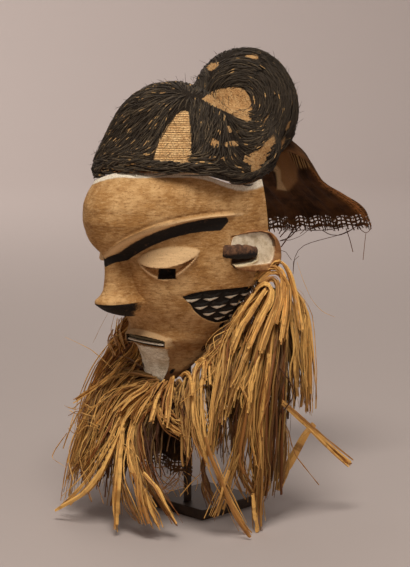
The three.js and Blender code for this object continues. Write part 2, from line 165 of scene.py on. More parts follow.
class Finish:
    def __init__(self, name):
        self.material = bpy.data.materials.new(name)
        self.material.use_nodes = True
        self.tree = self.material.node_tree
        self.tree.nodes.clear()
        self.shader = self.tree.nodes.new("ShaderNodeBsdfPrincipled")
        out = self.tree.nodes.new("ShaderNodeOutputMaterial")
        self.tree.links.new(self.shader.outputs[0], out.inputs[0])

    def feed(self, socket, value):
        if isinstance(value, Signal):
            self.tree.links.new(value.socket, socket)
        elif socket.type == "RGBA":  # a colour as three numbers up to 255
            socket.default_value = (*(linear(part / 255) for part in value), 1)
        else:
            socket.default_value = value

    def node(self, kind, settings, sockets, output=0):
        made = self.tree.nodes.new(kind)
        for name, value in settings.items():
            setattr(made, name, value)
        for key, value in sockets.items():
            self.feed(made.inputs[key], value)
        return Signal(self, made.outputs[output])

    def math(self, operation, *values):
        return self.node("ShaderNodeMath", {"operation": operation}, dict(enumerate(values)))

    def spot(self):  # the object's own coordinates, in metres
        return self.node("ShaderNodeTexCoord", {}, {}, 3)

    def place(self, scale=(1, 1, 1), turn=(0, 0, 0)):
        return self.node("ShaderNodeMapping", {}, {"Vector": self.spot(), "Scale": scale, "Rotation": turn})

    def height(self):
        return self.node("ShaderNodeSeparateXYZ", {}, {0: self.spot()}, 2)

    def vector(self, *axes):
        return self.node("ShaderNodeCombineXYZ", {}, dict(enumerate(axes)))

    def fact(self, name):
        return self.node("ShaderNodeAttribute", {"attribute_name": name}, {}, 2)

    def noise(self, where, scale, detail=2.0, rough=0.5, warp=0.0):
        return self.node("ShaderNodeTexNoise", {}, {"Vector": where, "Scale": scale, "Detail": detail,
                                                    "Roughness": rough, "Distortion": warp})

    def step(self, x, low, high):  # a soft step from 0 at low to 1 at high
        return self.node("ShaderNodeMapRange", {"interpolation_type": "SMOOTHSTEP"},
                         {0: x, 1: low, 2: high, 3: 0.0, 4: 1.0})

    def blend(self, share, a, b):
        return self.node("ShaderNodeMix", {"data_type": "RGBA"}, {0: share, 6: a, 7: b}, 2)

    def bump(self, height, distance):  # distance in millimetres
        return self.node("ShaderNodeBump", {}, {"Height": height, "Distance": distance * 0.001})

    def done(self, **sockets):
        for name, value in sockets.items():
            self.feed(self.shader.inputs[name.replace("_", " ")], value)
        return self.material


# meshes


def gridMesh(name, columns, rows, shape, facts):
    # a sheet of quads laid on shape(u, v) in millimetres, with its facts(u, v) kept on its points
    bm = bmesh.new()
    bmesh.ops.create_grid(bm, x_segments=columns, y_segments=rows, size=0.5)
    mesh = bpy.data.meshes.new(name)
    bm.to_mesh(mesh)
    bm.free()
    flat = np.empty(len(mesh.vertices) * 3, np.float32)
    mesh.vertices.foreach_get("co", flat)
    u, v = (np.clip(flat[axis::3].astype(float) + 0.5, 0, 1) for axis in (0, 1))
    mesh.vertices.foreach_set("co", (shape(u, v) * 0.001).astype(np.float32).ravel())
    for key, value in facts(u, v).items():
        mesh.attributes.new(key, "FLOAT", "POINT").data.foreach_set("value", value.astype(np.float32))
    return mesh


def closed(mesh, weld=0.02):
    # joins the seam, fills open ends and turns the faces outwards
    bm = bmesh.new()
    bm.from_mesh(mesh)
    bmesh.ops.remove_doubles(bm, verts=bm.verts, dist=weld * 0.001)
    bmesh.ops.dissolve_degenerate(bm, edges=bm.edges, dist=1e-7)
    openEdges = [edge for edge in bm.edges if edge.is_boundary]
    filled = bmesh.ops.holes_fill(bm, edges=openEdges, sides=0)["faces"]
    bmesh.ops.triangulate(bm, faces=filled)
    bmesh.ops.recalc_face_normals(bm, faces=bm.faces)
    bm.to_mesh(mesh)
    bm.free()
    return mesh


def piece(mesh, material, node, crease=None):
    obj = bpy.data.objects.new(mesh.name, mesh)
    scene.collection.objects.link(obj)
    mesh.materials.append(material)
    mesh.shade_smooth()
    if crease:
        mesh.set_sharp_from_angle(angle=math.radians(crease))
    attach(obj, "root")
    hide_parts(node)
    return obj


def sectionLine(name, points):
    data = bpy.data.curves.new(name, "CURVE")
    data.dimensions = "2D"
    line = data.splines.new("POLY")
    line.points.add(len(points) - 1)
    for point, (x, y) in zip(line.points, points):
        point.co = (x * 0.001, y * 0.001, 0, 1)
    line.use_cyclic_u = True
    obj = bpy.data.objects.new(name, data)
    scene.collection.objects.link(obj)
    return obj


sections = {  # half width 1 mm, scaled by each point's own radius
    "strip": [(-1, 0), (1, 0), (0.1, 0.34)],
    "leaf": [(-1, 0), (0.1, 0.32), (1, 0), (0.1, 0.56)],
    "thread": [(-0.8, -0.5), (0.8, -0.5), (0, 0.9)],
}


def strandMesh(name, paths, widths, tilts, section="strip", **facts):
    # many strips of one section, swept along rows of points; facts are kept for each strip
    count, length = paths.shape[:2]
    line = sectionLine(name + "_section", sections[section])
    data = bpy.data.curves.new(name, "CURVE")
    data.dimensions = "3D"
    data.bevel_mode = "OBJECT"
    data.bevel_object = line
    data.use_fill_caps = True
    data.twist_mode = "Z_UP"
    radii = np.broadcast_to(widths, (count, length)).astype(np.float32)
    turned = np.broadcast_to(tilts, (count, length)).astype(np.float32)
    spots = np.concatenate([paths * 0.001, np.ones((count, length, 1))], -1).astype(np.float32)
    for i in range(count):
        strip = data.splines.new("POLY")
        strip.points.add(length - 1)
        strip.points.foreach_set("co", spots[i].ravel())
        strip.points.foreach_set("radius", radii[i])
        strip.points.foreach_set("tilt", turned[i])
    swept = bpy.data.objects.new(name, data)
    scene.collection.objects.link(swept)
    depsgraph = bpy.context.evaluated_depsgraph_get()
    mesh = bpy.data.meshes.new_from_object(swept.evaluated_get(depsgraph))
    mesh.name = name
    bpy.data.objects.remove(swept)
    bpy.data.objects.remove(line)
    sides = len(sections[section])
    ends = np.tile(np.repeat([1.0, 0.0], sides), count)  # the caps come first, from the last strip back
    columns = {"along": [ends, np.tile(np.repeat(np.linspace(0, 1, length), sides), count)],
               "across": [np.tile(np.linspace(0, 1, sides), count * (length + 2))]}
    for key, value in facts.items():
        value = np.broadcast_to(value, (count,))
        columns[key] = [np.repeat(value[::-1], 2 * sides), np.repeat(value, length * sides)]
    for key, value in columns.items():
        value = np.concatenate(value).astype(np.float32)
        mesh.attributes.new(key, "FLOAT", "POINT").data.foreach_set("value", value)
    bm = bmesh.new()
    bm.from_mesh(mesh)
    bmesh.ops.remove_doubles(bm, verts=bm.verts, dist=1e-7)
    bm.to_mesh(mesh)
    bm.free()
    return mesh


# the carved face: level sections of the head, as in the solid model

faceSettings = {
    "chinTop": 170, "wall": 11, "square": 1.11, "leastDepth": 0.6, "leastHalf": 6, "capRow": 395,
    "browRise": 44, "browLow": 308, "browTurn": 1.4, "browHollow": 12, "temple": (58, 80),
    "vault": (348, 388), "lowShare": 0.47, "browShare": 0.73, "cheekTop": 272, "rimGap": 1.8,
    "columns": 252, "innerColumns": 36, "rows": 276, "noseShare": 0.3, "noseTurn": 1.46, "noseMost": 0.9,
    "seam": 0.4,
}
halfWidth = curve([[155, 12], [160, 19], [168, 28], [178, 36], [190, 44], [206, 53], [226, 64],
                   [250, 78], [280, 88], [310, 92], [350, 92], [405, 88]])
rimY = curve([[155, -78], [165, -70], [178, -59], [188, -49], [200, -38], [231, -27], [280, -5],
              [326, 6], [370, 1], [405, -6]])
cheekY = curve([[155, -74], [165, -79], [178, -80], [194, -88], [208, -97], [224, -99],
                [245, -110], [262, -118], [285, -124], [305, -128], [350, -133], [405, -120]])
foreheadY = curve([[155, -74], [250, -112], [290, -128], [305, -149], [318, -158], [330, -162],
                   [345, -166], [358, -165], [370, -159.5], [384, -146], [395, -132], [405, -118]])
capEdge = curve([[-180, 430], [-150, 422], [-125, 388], [-93, 391], [-78, 384], [-20, 386], [5, 399],
                 [34, 398], [64, 383.5], [93, 391], [125, 388], [150, 422], [180, 430]])
capCentre = np.array([0, 12, 428.0])


def browZ(angle):
    rise = np.sin(np.minimum(faceSettings["browTurn"] * np.abs(angle), math.pi / 2))
    return faceSettings["browLow"] + faceSettings["browRise"] * rise


def frontY(angle, z):
    under = browZ(angle) - z
    temple = smooth(*faceSettings["temple"], np.degrees(np.abs(angle)))
    hollow = 1 - (1 - np.clip(under / faceSettings["browHollow"], 0, 1)) ** 2.5
    low = mix(cheekY(z), foreheadY(z), temple)
    high = mix(foreheadY(browZ(angle)), foreheadY(z), temple)
    return np.where(under <= 0, foreheadY(z), mix(high, low, hollow))


def skin(angle, z, lift=0):
    depth = np.maximum(rimY(z) - frontY(angle, z), faceSettings["leastDepth"])
    away = unit(stack(np.sin(angle) * depth, -np.cos(angle) * halfWidth(z), 0 * z))
    x = halfWidth(z) * np.sin(angle)
    y = rimY(z) - depth * np.maximum(0, np.cos(angle)) ** faceSettings["square"]
    return stack(x, y, z) + away * np.expand_dims(lift + 0 * z, -1)


def woodTop(angle):
    spot = skin(angle, faceSettings["capRow"] + 0 * angle)
    return capEdge(np.degrees(np.arctan2(spot[..., 0], capCentre[1] - spot[..., 1])))


noseHalf = curve([[236.5, 2], [239, 6.5], [241.5, 11.5], [246, 16], [251, 18.6], [256, 19.8], [258, 19.4],
                  [263, 15.6], [272, 12], [290, 9], [318, 8]])
noseTip = curve([[236, -103], [239, -124], [241.5, -134], [246, -147], [251, -155.5], [256, -161.5],
                 [258, -161.5], [263, -156], [270, -151.5], [290, -150], [306, -151.5], [318, -154]])
noseColumns = curve([[155, 4], [180, 11], [236, 12], [246, 16], [251, 18.6], [256, 20], [258, 19.6],
                     [263, 16.6], [272, 13.6], [290, 11], [318, 10], [340, 16], [405, 20]])


def columnAngle(share, z):  # the middle columns follow the nose's sides
    f = faceSettings
    edge = np.clip(noseColumns(z) / halfWidth(z), 0, f["noseMost"])
    inner = np.abs(share) / f["noseShare"]
    across = np.sin(f["noseTurn"] * np.minimum(inner, 1)) / math.sin(f["noseTurn"])
    outer = (np.abs(share) - f["noseShare"]) / (1 - f["noseShare"])
    bent = mix(np.arcsin(edge), math.pi / 2, np.clip(outer, 0, 1))
    return np.sign(share) * np.where(inner <= 1, np.arcsin(edge * across), bent)


lowRows = curve([[0, 156], [0.13, 197], [0.28, 223], [0.47, 272]])  # close rows where the mouth is


def rowHeight(share, angle):
    f, brow = faceSettings, browZ(angle)
    middle = mix(f["cheekTop"], brow, (share - f["lowShare"]) / (f["browShare"] - f["lowShare"]))
    top = woodTop(angle) - f["rimGap"]
    high = mix(brow, top, (share - f["browShare"]) / (1 - f["browShare"]))
    return np.where(share < f["lowShare"], lowRows(share), np.where(share < f["browShare"], middle, high))


# the features, each as a height over the skin and a distance from its painted edge, in degrees and mm
eye = {
    "inner": 13.8, "outer": 49.6, "innerZ": 303, "outerZ": 312.5, "sag": 12, "rise": 9.5, "full": 0.58,
    "lowerDrop": 2, "lowerSag": 24.5, "lowerFull": 0.85, "thin": 2.0, "swell": 6.8, "ends": 0.06,
    "ridge": 3.6, "ridgeUp": 1.8, "ridgeWide": 2.6, "skirt": 1.3, "skirtWide": 3.5, "socket": 2.8,
    "socketUp": 4.6, "pupil": (26.6, 36.6), "pupilZ": (282.6, 293.2), "pupilDeep": 6.5,
}


def eyeLines(degrees):
    # the share along the eye, the lid's two edges, its fullness, and the edge of the lid below
    e = eye
    share = np.clip((degrees - e["inner"]) / (e["outer"] - e["inner"]), 0, 1)
    chord = mix(e["innerZ"], e["outerZ"], share)
    fullness = np.sin(math.pi * share) ** e["full"]
    lower = chord - e["lowerDrop"] - e["lowerSag"] * np.sin(math.pi * share) ** e["lowerFull"]
    return share, chord - e["sag"] * fullness, chord + e["rise"] * fullness, fullness, lower


def band(z, low, high, soft):  # 1 between two edges, softly
    return smooth(low - soft, low + soft, z) * (1 - smooth(high - soft, high + soft, z))


def between(x, low, high):  # how far inside two edges
    return np.minimum(x - low, high - x)


def eyeLift(degrees, z):
    e = eye
    share, low, high, fullness, lower = eyeLines(degrees)
    up = np.clip((z - low) / np.maximum(high - low, 0.1), 0, 1)
    lid = fullness * (e["thin"] + e["swell"] * (1 - up) ** 0.8)
    lid = lid * smooth(low - 0.9, low + 0.7, z) * (1 - smooth(high - 0.6, high + 1, z))
    present = smooth(0.0, e["ends"], share) * (1 - smooth(1 - e["ends"], 1.0, share))
    ridge = e["ridge"] * np.exp(-((z - lower - e["ridgeUp"]) / e["ridgeWide"]) ** 2) * present
    skirt = e["skirt"] * np.exp(-(np.maximum(lower - z, 0) / e["skirtWide"]) ** 2) * (z < lower) * present
    socket = e["socket"] * band(z, lower + e["socketUp"], low - 0.3, 1.0) * present
    pupil = e["pupilDeep"] * band(degrees, *e["pupil"], 0.7) * band(z, *e["pupilZ"], 0.9)
    return np.maximum(lid, np.maximum(ridge, skirt)) - socket * (lid < 0.5) - pupil


# the mouth is straight, so its ends stand out from the round of the face
mouth = {
    "middle": 1.5, "half": 30.2, "end": 32.6, "front": -101.5, "frontBend": 0.005, "deep": -91,
    "deepBend": 0.004, "foot": 202.8, "low": 214, "lowBend": 0.0026, "high": 221.8, "highBend": 0.0062,
    "lipFull": 0.75, "teeth": (208.4, 211.8), "teethProud": 3.6, "line": (205.5, 207.9), "lineProud": 6.2,
    "postBack": 7, "cheek": 7, "cheekOut": 37, "cheekWide": 13, "cheekZ": (205.5, 216),
}


def mouthEdges(x):
    m = mouth
    return m["low"] - m["lowBend"] * x * x, m["high"] - m["highBend"] * x * x


def mouthY(x, y, z):
    m, away = mouth, np.abs(x - mouth["middle"])
    low, high = mouthEdges(x)
    y = y - m["cheek"] * np.exp(-((away - m["cheekOut"]) / m["cheekWide"]) ** 2) * band(z, *m["cheekZ"], 7)
    full = np.clip((z - low) / (high - low), 0, 1) ** m["lipFull"]
    lip = mix(m["front"] + m["frontBend"] * away ** 2, y, full)
    deep = m["deep"] - m["teethProud"] * band(z, *m["teeth"], 0.4)
    deep = deep - m["lineProud"] * band(z, *m["line"], 0.35) + m["deepBend"] * away ** 2
    post = mix(deep, m["front"] + m["postBack"], smooth(m["half"] - 0.5, m["half"] + 0.5, away))
    shape = mix(post, lip, smooth(low - 0.4, low + 0.3, z))
    there = (1 - smooth(m["end"] - 0.4, m["end"] + 0.7, away)) * smooth(m["foot"] - 3.5, m["foot"] + 0.2, z)
    return mix(y, shape, there * (1 - smooth(high - 0.3, high + 0.9, z)))


bedUpper = curve([[41, 262.5], [49, 266.5], [58, 268.6], [70, 268.9], [90, 268.8]])
bedLower = curve([[41, 262.5], [44, 258.5], [47.5, 252.8], [50.5, 246], [60, 236.3], [68, 232], [75, 229.8],
                  [90, 231.8]])
scales = [  # compass angle, height and half width of each white-edged scale
    (48.0, 259.4, 6.2), (60.3, 259.9, 5.9), (74.5, 260.9, 5.6), (86.5, 261.5, 4.6),
    (55.0, 250.4, 5.2), (68.2, 250.4, 6.4), (82.6, 251.6, 6.2),
    (62.8, 242.4, 5.6), (77.6, 243.0, 7.2), (74.5, 236.2, 5.6), (87, 238, 4),
]


scaleSettings = {"sag": 3.8, "slant": 0.6, "edge": 3.3, "tall": 6, "soft": 0.8, "ends": (0.85, 1.05)}
bedStart, bedPerDegree = 41.5, 1.7
absent = -9  # a painted mark's distance where the mark isn't


def bedDistance(degrees, z):
    side = (degrees - bedStart) * bedPerDegree
    return np.minimum(between(z, bedLower(degrees), bedUpper(degrees)), side)


def scaleShapes(degrees, z):
    # how proud the scales stand, and how far inside a white edge a place lies
    s = scaleSettings
    proud, white = 0 * z, 0 * z + absent
    for angle, height, half in scales:
        across = (degrees - angle) / half
        lower = height - s["sag"] * (1 - np.abs(across) ** 1.3) + s["slant"] * across
        edge = s["edge"] * (1 - np.abs(across) ** 1.6)
        white = np.maximum(white, np.where(np.abs(across) < 1, between(z, lower, lower + edge), absent))
        rise = band(z, lower, lower + s["tall"], s["soft"]) * (1 - smooth(*s["ends"], np.abs(across)))
        proud = np.maximum(proud, np.where(z > lower, rise, 0))
    return proud, white


lashingSpots = [(88, 281), (85, 252), (82, 226), (76, 200), (45.2, 173.5)]  # compass angle and height
relief = {
    "browEnd": (66, 75), "browLip": 2.9, "browLipDown": 1.6, "browStep": 1.2, "browStepUp": 2.4, "earSeat": 7,
    "earSeatY": (-46, -38, 3, 6), "earSeatZ": (295.5, 327), "bed": 2.4, "scale": 1.7, "hole": 5,
    "holeHalf": (1.6, 2.6), "holeArm": 105,
}


def faceLift(angle, z):
    r, degrees = relief, np.abs(np.degrees(angle))
    over = z - browZ(angle)
    browLip = r["browLip"] * np.exp(-((over + r["browLipDown"]) / 1.1) ** 2)
    browLip = browLip - r["browStep"] * np.exp(-((over - r["browStepUp"]) / 2) ** 2)
    lift = eyeLift(degrees, z) + (1 - smooth(*r["browEnd"], degrees)) * browLip
    y = rimY(z) - (rimY(z) - frontY(angle, z)) * np.maximum(0, np.cos(angle)) ** faceSettings["square"]
    low, full, past, end = r["earSeatY"]
    seat = r["earSeat"] * smooth(low, full, y) * (1 - smooth(past, end, y)) * band(z, *r["earSeatZ"], 0.8)
    proud, _ = scaleShapes(degrees, z)
    inBed = smooth(-0.7, 0.7, bedDistance(degrees, z))
    lift = lift - seat - inBed * (r["bed"] - r["scale"] * proud)
    for spot, height in lashingSpots:
        away = np.hypot((degrees - spot) * math.pi / 180 * r["holeArm"], z - height)
        lift = lift - r["hole"] * (1 - smooth(*r["holeHalf"], away))
    return lift


def softLeast(a, b, blunt):
    near = np.maximum(blunt - np.abs(a - b), 0)
    return np.minimum(a, b) - near * near / (4 * blunt)


nose = {"foot": 236, "tip": 258, "bridge": 268, "top": 317, "back": 5, "wing": 0.4, "round": 0.45, "fall": 12,
        "fallWide": 2.5, "blunt": (2.0, 3.0, 8.0)}


def noseY(x, z):
    tip = noseTip(z)
    back = cheekY(z) + nose["back"]
    wing = mix(back, tip, nose["wing"])
    across = np.abs(x) / noseHalf(z)
    inside = mix(wing, tip, np.maximum(0, 1 - across ** 2) ** nose["round"])
    past = (across - 1) * noseHalf(z)
    outside = mix(wing, back + nose["fall"], smooth(0, 1, past / nose["fallWide"]))
    return np.where(across < 1, inside, outside + 3 * np.maximum(past - 2, 0) ** 2)


def faceOuter(share, row):
    angle = share * math.pi / 2
    for _ in range(2):
        z = rowHeight(row, angle)
        angle = columnAngle(share, z)
    z = rowHeight(row, angle)
    base = skin(angle, z, faceLift(angle, z))
    x, y = base[..., 0], base[..., 1]
    foot, tip, top = nose["foot"], nose["tip"], nose["top"]
    under, low, high = nose["blunt"]
    blunt = np.where(z > tip, mix(low, high, smooth(tip, nose["bridge"], z)), under)
    fade = smooth(foot, foot + 2.5, z) * (1 - smooth(top - 8, top, z))
    y = np.where((z > foot) & (z < top), mix(y, softLeast(y, noseY(x, z), blunt), fade), y)
    base[..., 1] = np.where((z > 198) & (z < 224), mouthY(x, y, z), y)
    return base, angle, z


def faceInner(share, row):  # share runs from the left rim back to the right one
    f, angle = faceSettings, share * math.pi / 2
    z = rowHeight(row, angle)
    solid = z < f["chinTop"]
    front = mix(cheekY(z), foreheadY(z), smooth(*f["vault"], z)) + f["wall"]
    depth = np.where(solid, 0.0, rimY(z) - front)
    y = rimY(z) - np.maximum(depth, 0) * np.maximum(0, np.cos(angle)) ** f["square"]
    half = np.where(solid, halfWidth(z) * 0.97, np.maximum(f["leastHalf"], halfWidth(z) - f["wall"]))
    return stack(half * np.sin(angle), y, z)


faceColumns = faceSettings["columns"] + faceSettings["innerColumns"]
outerShare = faceSettings["columns"] / faceColumns


def faceShape(u, v):
    front = u <= outerShare
    outside, _, _ = faceOuter(np.clip(u / outerShare, 0, 1) * 2 - 1, v)
    seam = faceSettings["seam"] / faceColumns
    back = (u - outerShare - seam) / (1 - outerShare - 2 * seam)
    inside = faceInner(1 - 2 * np.clip(back, 0, 1), v)
    wrapped = np.where((u >= 1)[:, None], faceOuter(0 * u - 1, v)[0], inside)
    return np.where(front[:, None], outside, wrapped)


browDepth = curve([[0, 12.5], [14, 13], [24, 13.4], [37, 14.4], [49, 16], [60, 18], [72, 19]])
paint = {
    "browEdge": 3.6, "browEnd": 66.8, "browFlat": 8.5, "browSlope": 0.6, "perDegree": 1.6,
    "bowl": (237.5, 256.3), "bowlEdge": 0.4, "pupil": (26.2, 36.9), "pupilZ": (282.4, 293.4),
    "holeHalf": 3.2, "holeArm": 1.1,
    "rim": 4.2, "rimSide": 3.5, "rimFront": 1.5, "chin": (33.0, 31), "chinZ": (177, 197), "chinFar": 55,
    "chinGap": 1.5, "lids": (14, 49.5), "lowerLidEnd": 49, "highlightBrowEnd": 76, "lipEnds": (-4.5, -0.2),
    "dimBelow": (262, 190), "dimBrow": (30, 8), "dimChin": (179, 170), "dimInside": 0.6,
}


def faceFacts(u, v):
    _, angle, z = faceOuter(np.clip(u / outerShare, 0, 1) * 2 - 1, v)
    p, m, front = paint, mouth, u <= outerShare
    degrees, brow, x = np.abs(np.degrees(angle)), browZ(angle), halfWidth(z) * np.sin(angle)
    low, high = mouthEdges(x)
    inMouth = m["half"] - np.abs(x - m["middle"])
    bed = bedDistance(degrees, z)

    # black: black paint below the brow, in the nostrils and the cheek beds, with painted shade in the brow's
    # overhang, the pupils, the mouth's slot and the lashing holes
    browEnd = p["browEnd"] - p["browSlope"] * np.maximum(brow - p["browFlat"] - z, 0)
    under = between(z, brow - browDepth(degrees), brow - p["browEdge"])
    under = np.minimum(under, (browEnd - degrees) * p["perDegree"])
    nostril = noseHalf(z) - p["bowlEdge"] + 1.3 * smooth(240, 255, z) - np.abs(x)
    bowl = np.minimum(between(z, *p["bowl"]), nostril)
    pupil = np.minimum(between(degrees, *p["pupil"]) * p["perDegree"], between(z, *p["pupilZ"]))
    slot = np.minimum(between(z, m["foot"], low - 0.2), inMouth + 0.6)
    teeth = np.minimum(between(z, *m["teeth"]), inMouth - 0.5)
    holes = 0 * z + absent
    for spot, height in lashingSpots:
        away = np.hypot((degrees - spot) * math.pi / 180 * p["holeArm"] * halfWidth(z), z - height)
        holes = np.maximum(holes, p["holeHalf"] - away)
    black = np.max([under, bowl, pupil, slot, bed, holes], 0)
    black = np.where(teeth > 0, np.minimum(black, -teeth), black)

    # white: chalk at the cap's rim and on the chin, the scales' edges, and a line below the teeth
    rim = p["rim"] + p["rimSide"] * smooth(62, 86, degrees) + p["rimFront"] * smooth(40, 10, degrees)
    rimLow = woodTop(angle) - faceSettings["rimGap"] - rim
    chalk = (z - rimLow) * mix(0.45, 0.2, smooth(50, 86, degrees))
    chinHalf = np.where(angle < 0, p["chinFar"], mix(*p["chin"], smooth(*p["chinZ"], z)))
    chin = np.minimum(chinHalf - degrees, m["foot"] - p["chinGap"] - z)
    toothLine = between(z, m["line"][0] - 0.2, m["line"][1] + 0.1)
    _, scaleWhite = scaleShapes(degrees, z)
    white = np.max([chalk, np.minimum(scaleWhite, bed), np.minimum(toothLine, inMouth - 1.5)], 0)

    # painted highlight on the lids, the brow's lip and round the mouth, painted shade lower down, under the
    # brow and inside, and darker still at the chin's foot
    _, lidLow, lidHigh, _, lower = eyeLines(degrees)
    onLids = (degrees > p["lids"][0]) * (degrees < p["lids"][1])
    pale = np.max([
        1.3 * band(z, lidLow + 0.4, lidHigh + 0.2, 0.8) * onLids,
        1.2 * band(z, lower + 0.2, lower + 3.6, 0.7) * onLids * (degrees < p["lowerLidEnd"]),
        1.2 * np.exp(-((z - brow + 1.5) / 1.5) ** 2) * (degrees < p["highlightBrowEnd"]),
        1.2 * band(z, low, high - 1, 0.6) * (inMouth > p["lipEnds"][0]),
        1.2 * band(inMouth, *p["lipEnds"], 0.3) * band(z, m["line"][0] - 0.5, high, 1),
    ], 0)
    browShade = band(z, brow - p["dimBrow"][0], brow - p["dimBrow"][1], 6) * (degrees < 50)
    shade = smooth(*p["dimBelow"], z) + 0.4 * browShade + 1.2 * smooth(*p["dimChin"], z)
    facts = {"black": black, "white": white, "chin": chin, "teeth": teeth}
    facts = {name: np.where(front, value, absent) for name, value in facts.items()}
    return facts | {"pale": np.where(front, pale, 0), "shade": np.where(front, shade, p["dimInside"])}


def carvedWood():
    m = Finish("carved_wood")
    where = m.place()
    cloud = m.noise(where, 34, 3, 0.6)
    blotch = m.noise(where, 130, 4, 0.65)
    dash = m.noise(m.place((0.45, 0.45, 1.5)), 330, 4, 0.75, 0.3)
    speck = m.noise(where, 640, 3, 0.7)
    fine = m.noise(where, 1700, 2, 0.6)
    base = m.blend(m.step(cloud, 0.35, 0.68), (176, 127, 72), (212, 167, 112))
    base = m.blend(m.step(blotch, 0.5, 0.7) * 0.5, base, (146, 98, 52))
    base = m.blend(m.step(dash, 0.5, 0.34) * 0.45, base, (234, 192, 136))
    base = m.blend(m.step(dash, 0.52, 0.7) * 0.7, base, (126, 82, 42))
    # painted highlight on the lids, the lower lid's ridge, the brow's lip and round the mouth
    base = m.blend(m.fact("pale") * 0.7, base, (238, 198, 146))
    base = m.blend(m.step(speck, 0.58, 0.7) * 0.6, base, (96, 60, 30))
    base = m.blend(m.fact("shade") * 0.5, base, m.blend(dash, (112, 70, 36), (84, 52, 26)))
    ragged = (blotch - 0.5) * 3.0 + (speck - 0.5) * 3.0
    chin = m.step(m.fact("chin") + ragged * 1.8, -0.8, 1.4)
    chalky = m.blend(m.step(cloud * 0.5 + dash * 0.5, 0.4, 0.6), (252, 242, 220), (206, 188, 156))
    base = m.blend(chin * (1 - m.step(speck, 0.5, 0.66) * 0.4), base, chalky)
    teeth = m.step(m.fact("teeth") + ragged * 0.2, -0.3, 0.3)
    base = m.blend(teeth * 0.9, base, m.blend(blotch, (92, 88, 66), (128, 122, 98)))
    # black paint, and painted shade in the brow's overhang, the pupils, the mouth's slot and the lashing
    # holes
    black = m.step(m.fact("black") + ragged * 0.4, -0.45, 0.45)
    # brown in the black: wear and painted sheen
    wearAndSheen = m.step(blotch * 0.6 + speck * 0.4, 0.55, 0.66)
    base = m.blend(black * (1 - teeth), base, m.blend(wearAndSheen * 0.8, (30, 23, 17), (84, 58, 38)))
    white = m.step(m.fact("white") + ragged * 0.3, -0.3, 0.4)
    limed = m.blend(m.step(speck, 0.45, 0.7), (244, 232, 210), (204, 182, 150))
    base = m.blend(white * 0.95, base, limed)
    hewn = m.noise(m.place((0.5, 0.5, 1.3)), 85, 2, 0.5)
    height = dash * 0.5 + speck * 0.5 + hewn * 2.2 + fine * 0.12 - black * 0.15 + white * 0.3
    return m.done(Base_Color=base, Roughness=0.93 - black * 0.2, Normal=m.bump(height, 0.9),
                  Specular_IOR_Level=0.25)


faceMesh = gridMesh("face_carving", faceColumns, faceSettings["rows"], faceShape, faceFacts)
piece(closed(faceMesh), carvedWood(), "carved_face", 42)
print("face", len(faceMesh.polygons))

# the ears: a C-shaped plate, chalked inside a brown rim, with a peg across its mouth

earSettings = {
    "middle": (-12, 308), "tilt": -13, "hinge": 90, "back": 76, "rim": 99.5, "field": 95.2, "floor": 89,
    "slope": 93.5, "lip": 1.3, "lipIn": 1.5, "lipWide": 1.1, "round": 1.6, "flare": 0.6, "face": 0.84,
    "spokes": 150, "rings": 48, "grooveTop": 312, "groove": 1.1, "hollowBelow": 296, "hollow": 5,
}
earEdge = [(-43, 325.5), (-35, 328.6), (-27, 329.8), (-7, 330.2), (3, 329.4), (10, 325), (16, 317.5),
           (19, 307), (18.6, 295), (13, 287.5), (2, 286.4), (-12, 287), (-26, 288.4), (-40, 292), (-45, 300),
           (-45.5, 313)]
earField = [(-60, 324), (-38, 328), (-27, 329.4), (-7, 329.6), (2, 327), (9, 319), (10.6, 308), (9.4, 299),
            (5, 294), (-12, 293.6), (-32, 294.4), (-60, 297)]
earMouth = [(-60, 315), (-40, 313), (-20, 309.8), (-12, 304.5), (-12, 299.5), (-19, 297), (-36, 296),
            (-60, 297)]


def earPlace(out, along, z):  # from the ear's own plane to the head it leans away from
    turn, out = math.radians(earSettings["tilt"]), out - earSettings["hinge"]
    return (earSettings["hinge"] + out * math.cos(turn) - along * math.sin(turn),
            out * math.sin(turn) + along * math.cos(turn), z)


def earShape(u, v):
    # the left ear's surface, and how far inside its field and its mouth each point lies
    e = earSettings
    corners = np.array(earEdge, float) - e["middle"]
    reach = np.interp(u * 2 * math.pi, np.arctan2(corners[:, 1], corners[:, 0]),
                      np.hypot(*corners.T), period=2 * math.pi)
    share = np.minimum(v / e["face"], 1)
    along = e["middle"][0] + np.cos(u * 2 * math.pi) * reach * share
    z = e["middle"][1] + np.sin(u * 2 * math.pi) * reach * share
    field, opening = polygonDistance(along, z, earField), polygonDistance(along, z, earMouth)
    lip = e["lip"] * np.exp(-((opening + e["lipIn"]) / e["lipWide"]) ** 2) * smooth(-44, -38, along)
    out = mix(e["rim"] - e["round"] * smooth(0.93, 1, share), e["field"] + lip, smooth(-0.9, 0.7, field))
    out = out + e["flare"] * smooth(-24, -40, along)
    out = mix(out, mix(e["slope"], e["floor"], smooth(-46, -38, along)), smooth(-0.8, 0.5, opening))
    out = mix(out, e["back"], np.clip((v - e["face"]) / (1 - e["face"]), 0, 1))
    return stack(*earPlace(out, along, z)), field, opening


def earFacts(u, v):
    e = earSettings
    point, field, opening = earShape(u, v)
    onFace, z = v <= e["face"] + 1e-6, point[:, 2]
    return {"chalk": np.where(onFace, np.minimum(field, -opening), absent),
            # lip: a painted highlight along the edge of the ear's mouth
            "lip": np.where(onFace, np.exp(-((opening + 1.4) / 1.3) ** 2), 0),
            # groove: painted shade along a groove at the top of the field
            "groove": np.where(onFace & (z > e["grooveTop"]), e["groove"] - np.abs(field), absent),
            # hollow: painted shade in the notch behind the peg and under the ear
            "hollow": np.where(onFace, opening, np.where(z < e["hollowBelow"], e["hollow"], absent))}


pegSettings = {"middle": (93.4, -33, 309.4), "thick": 7.6, "thin": 6.8, "long": 43, "slope": -5, "flat": 0.85,
               "bevel": 1.8, "swell": 1.15, "ends": 0.3, "sides": 22, "cuts": 12}


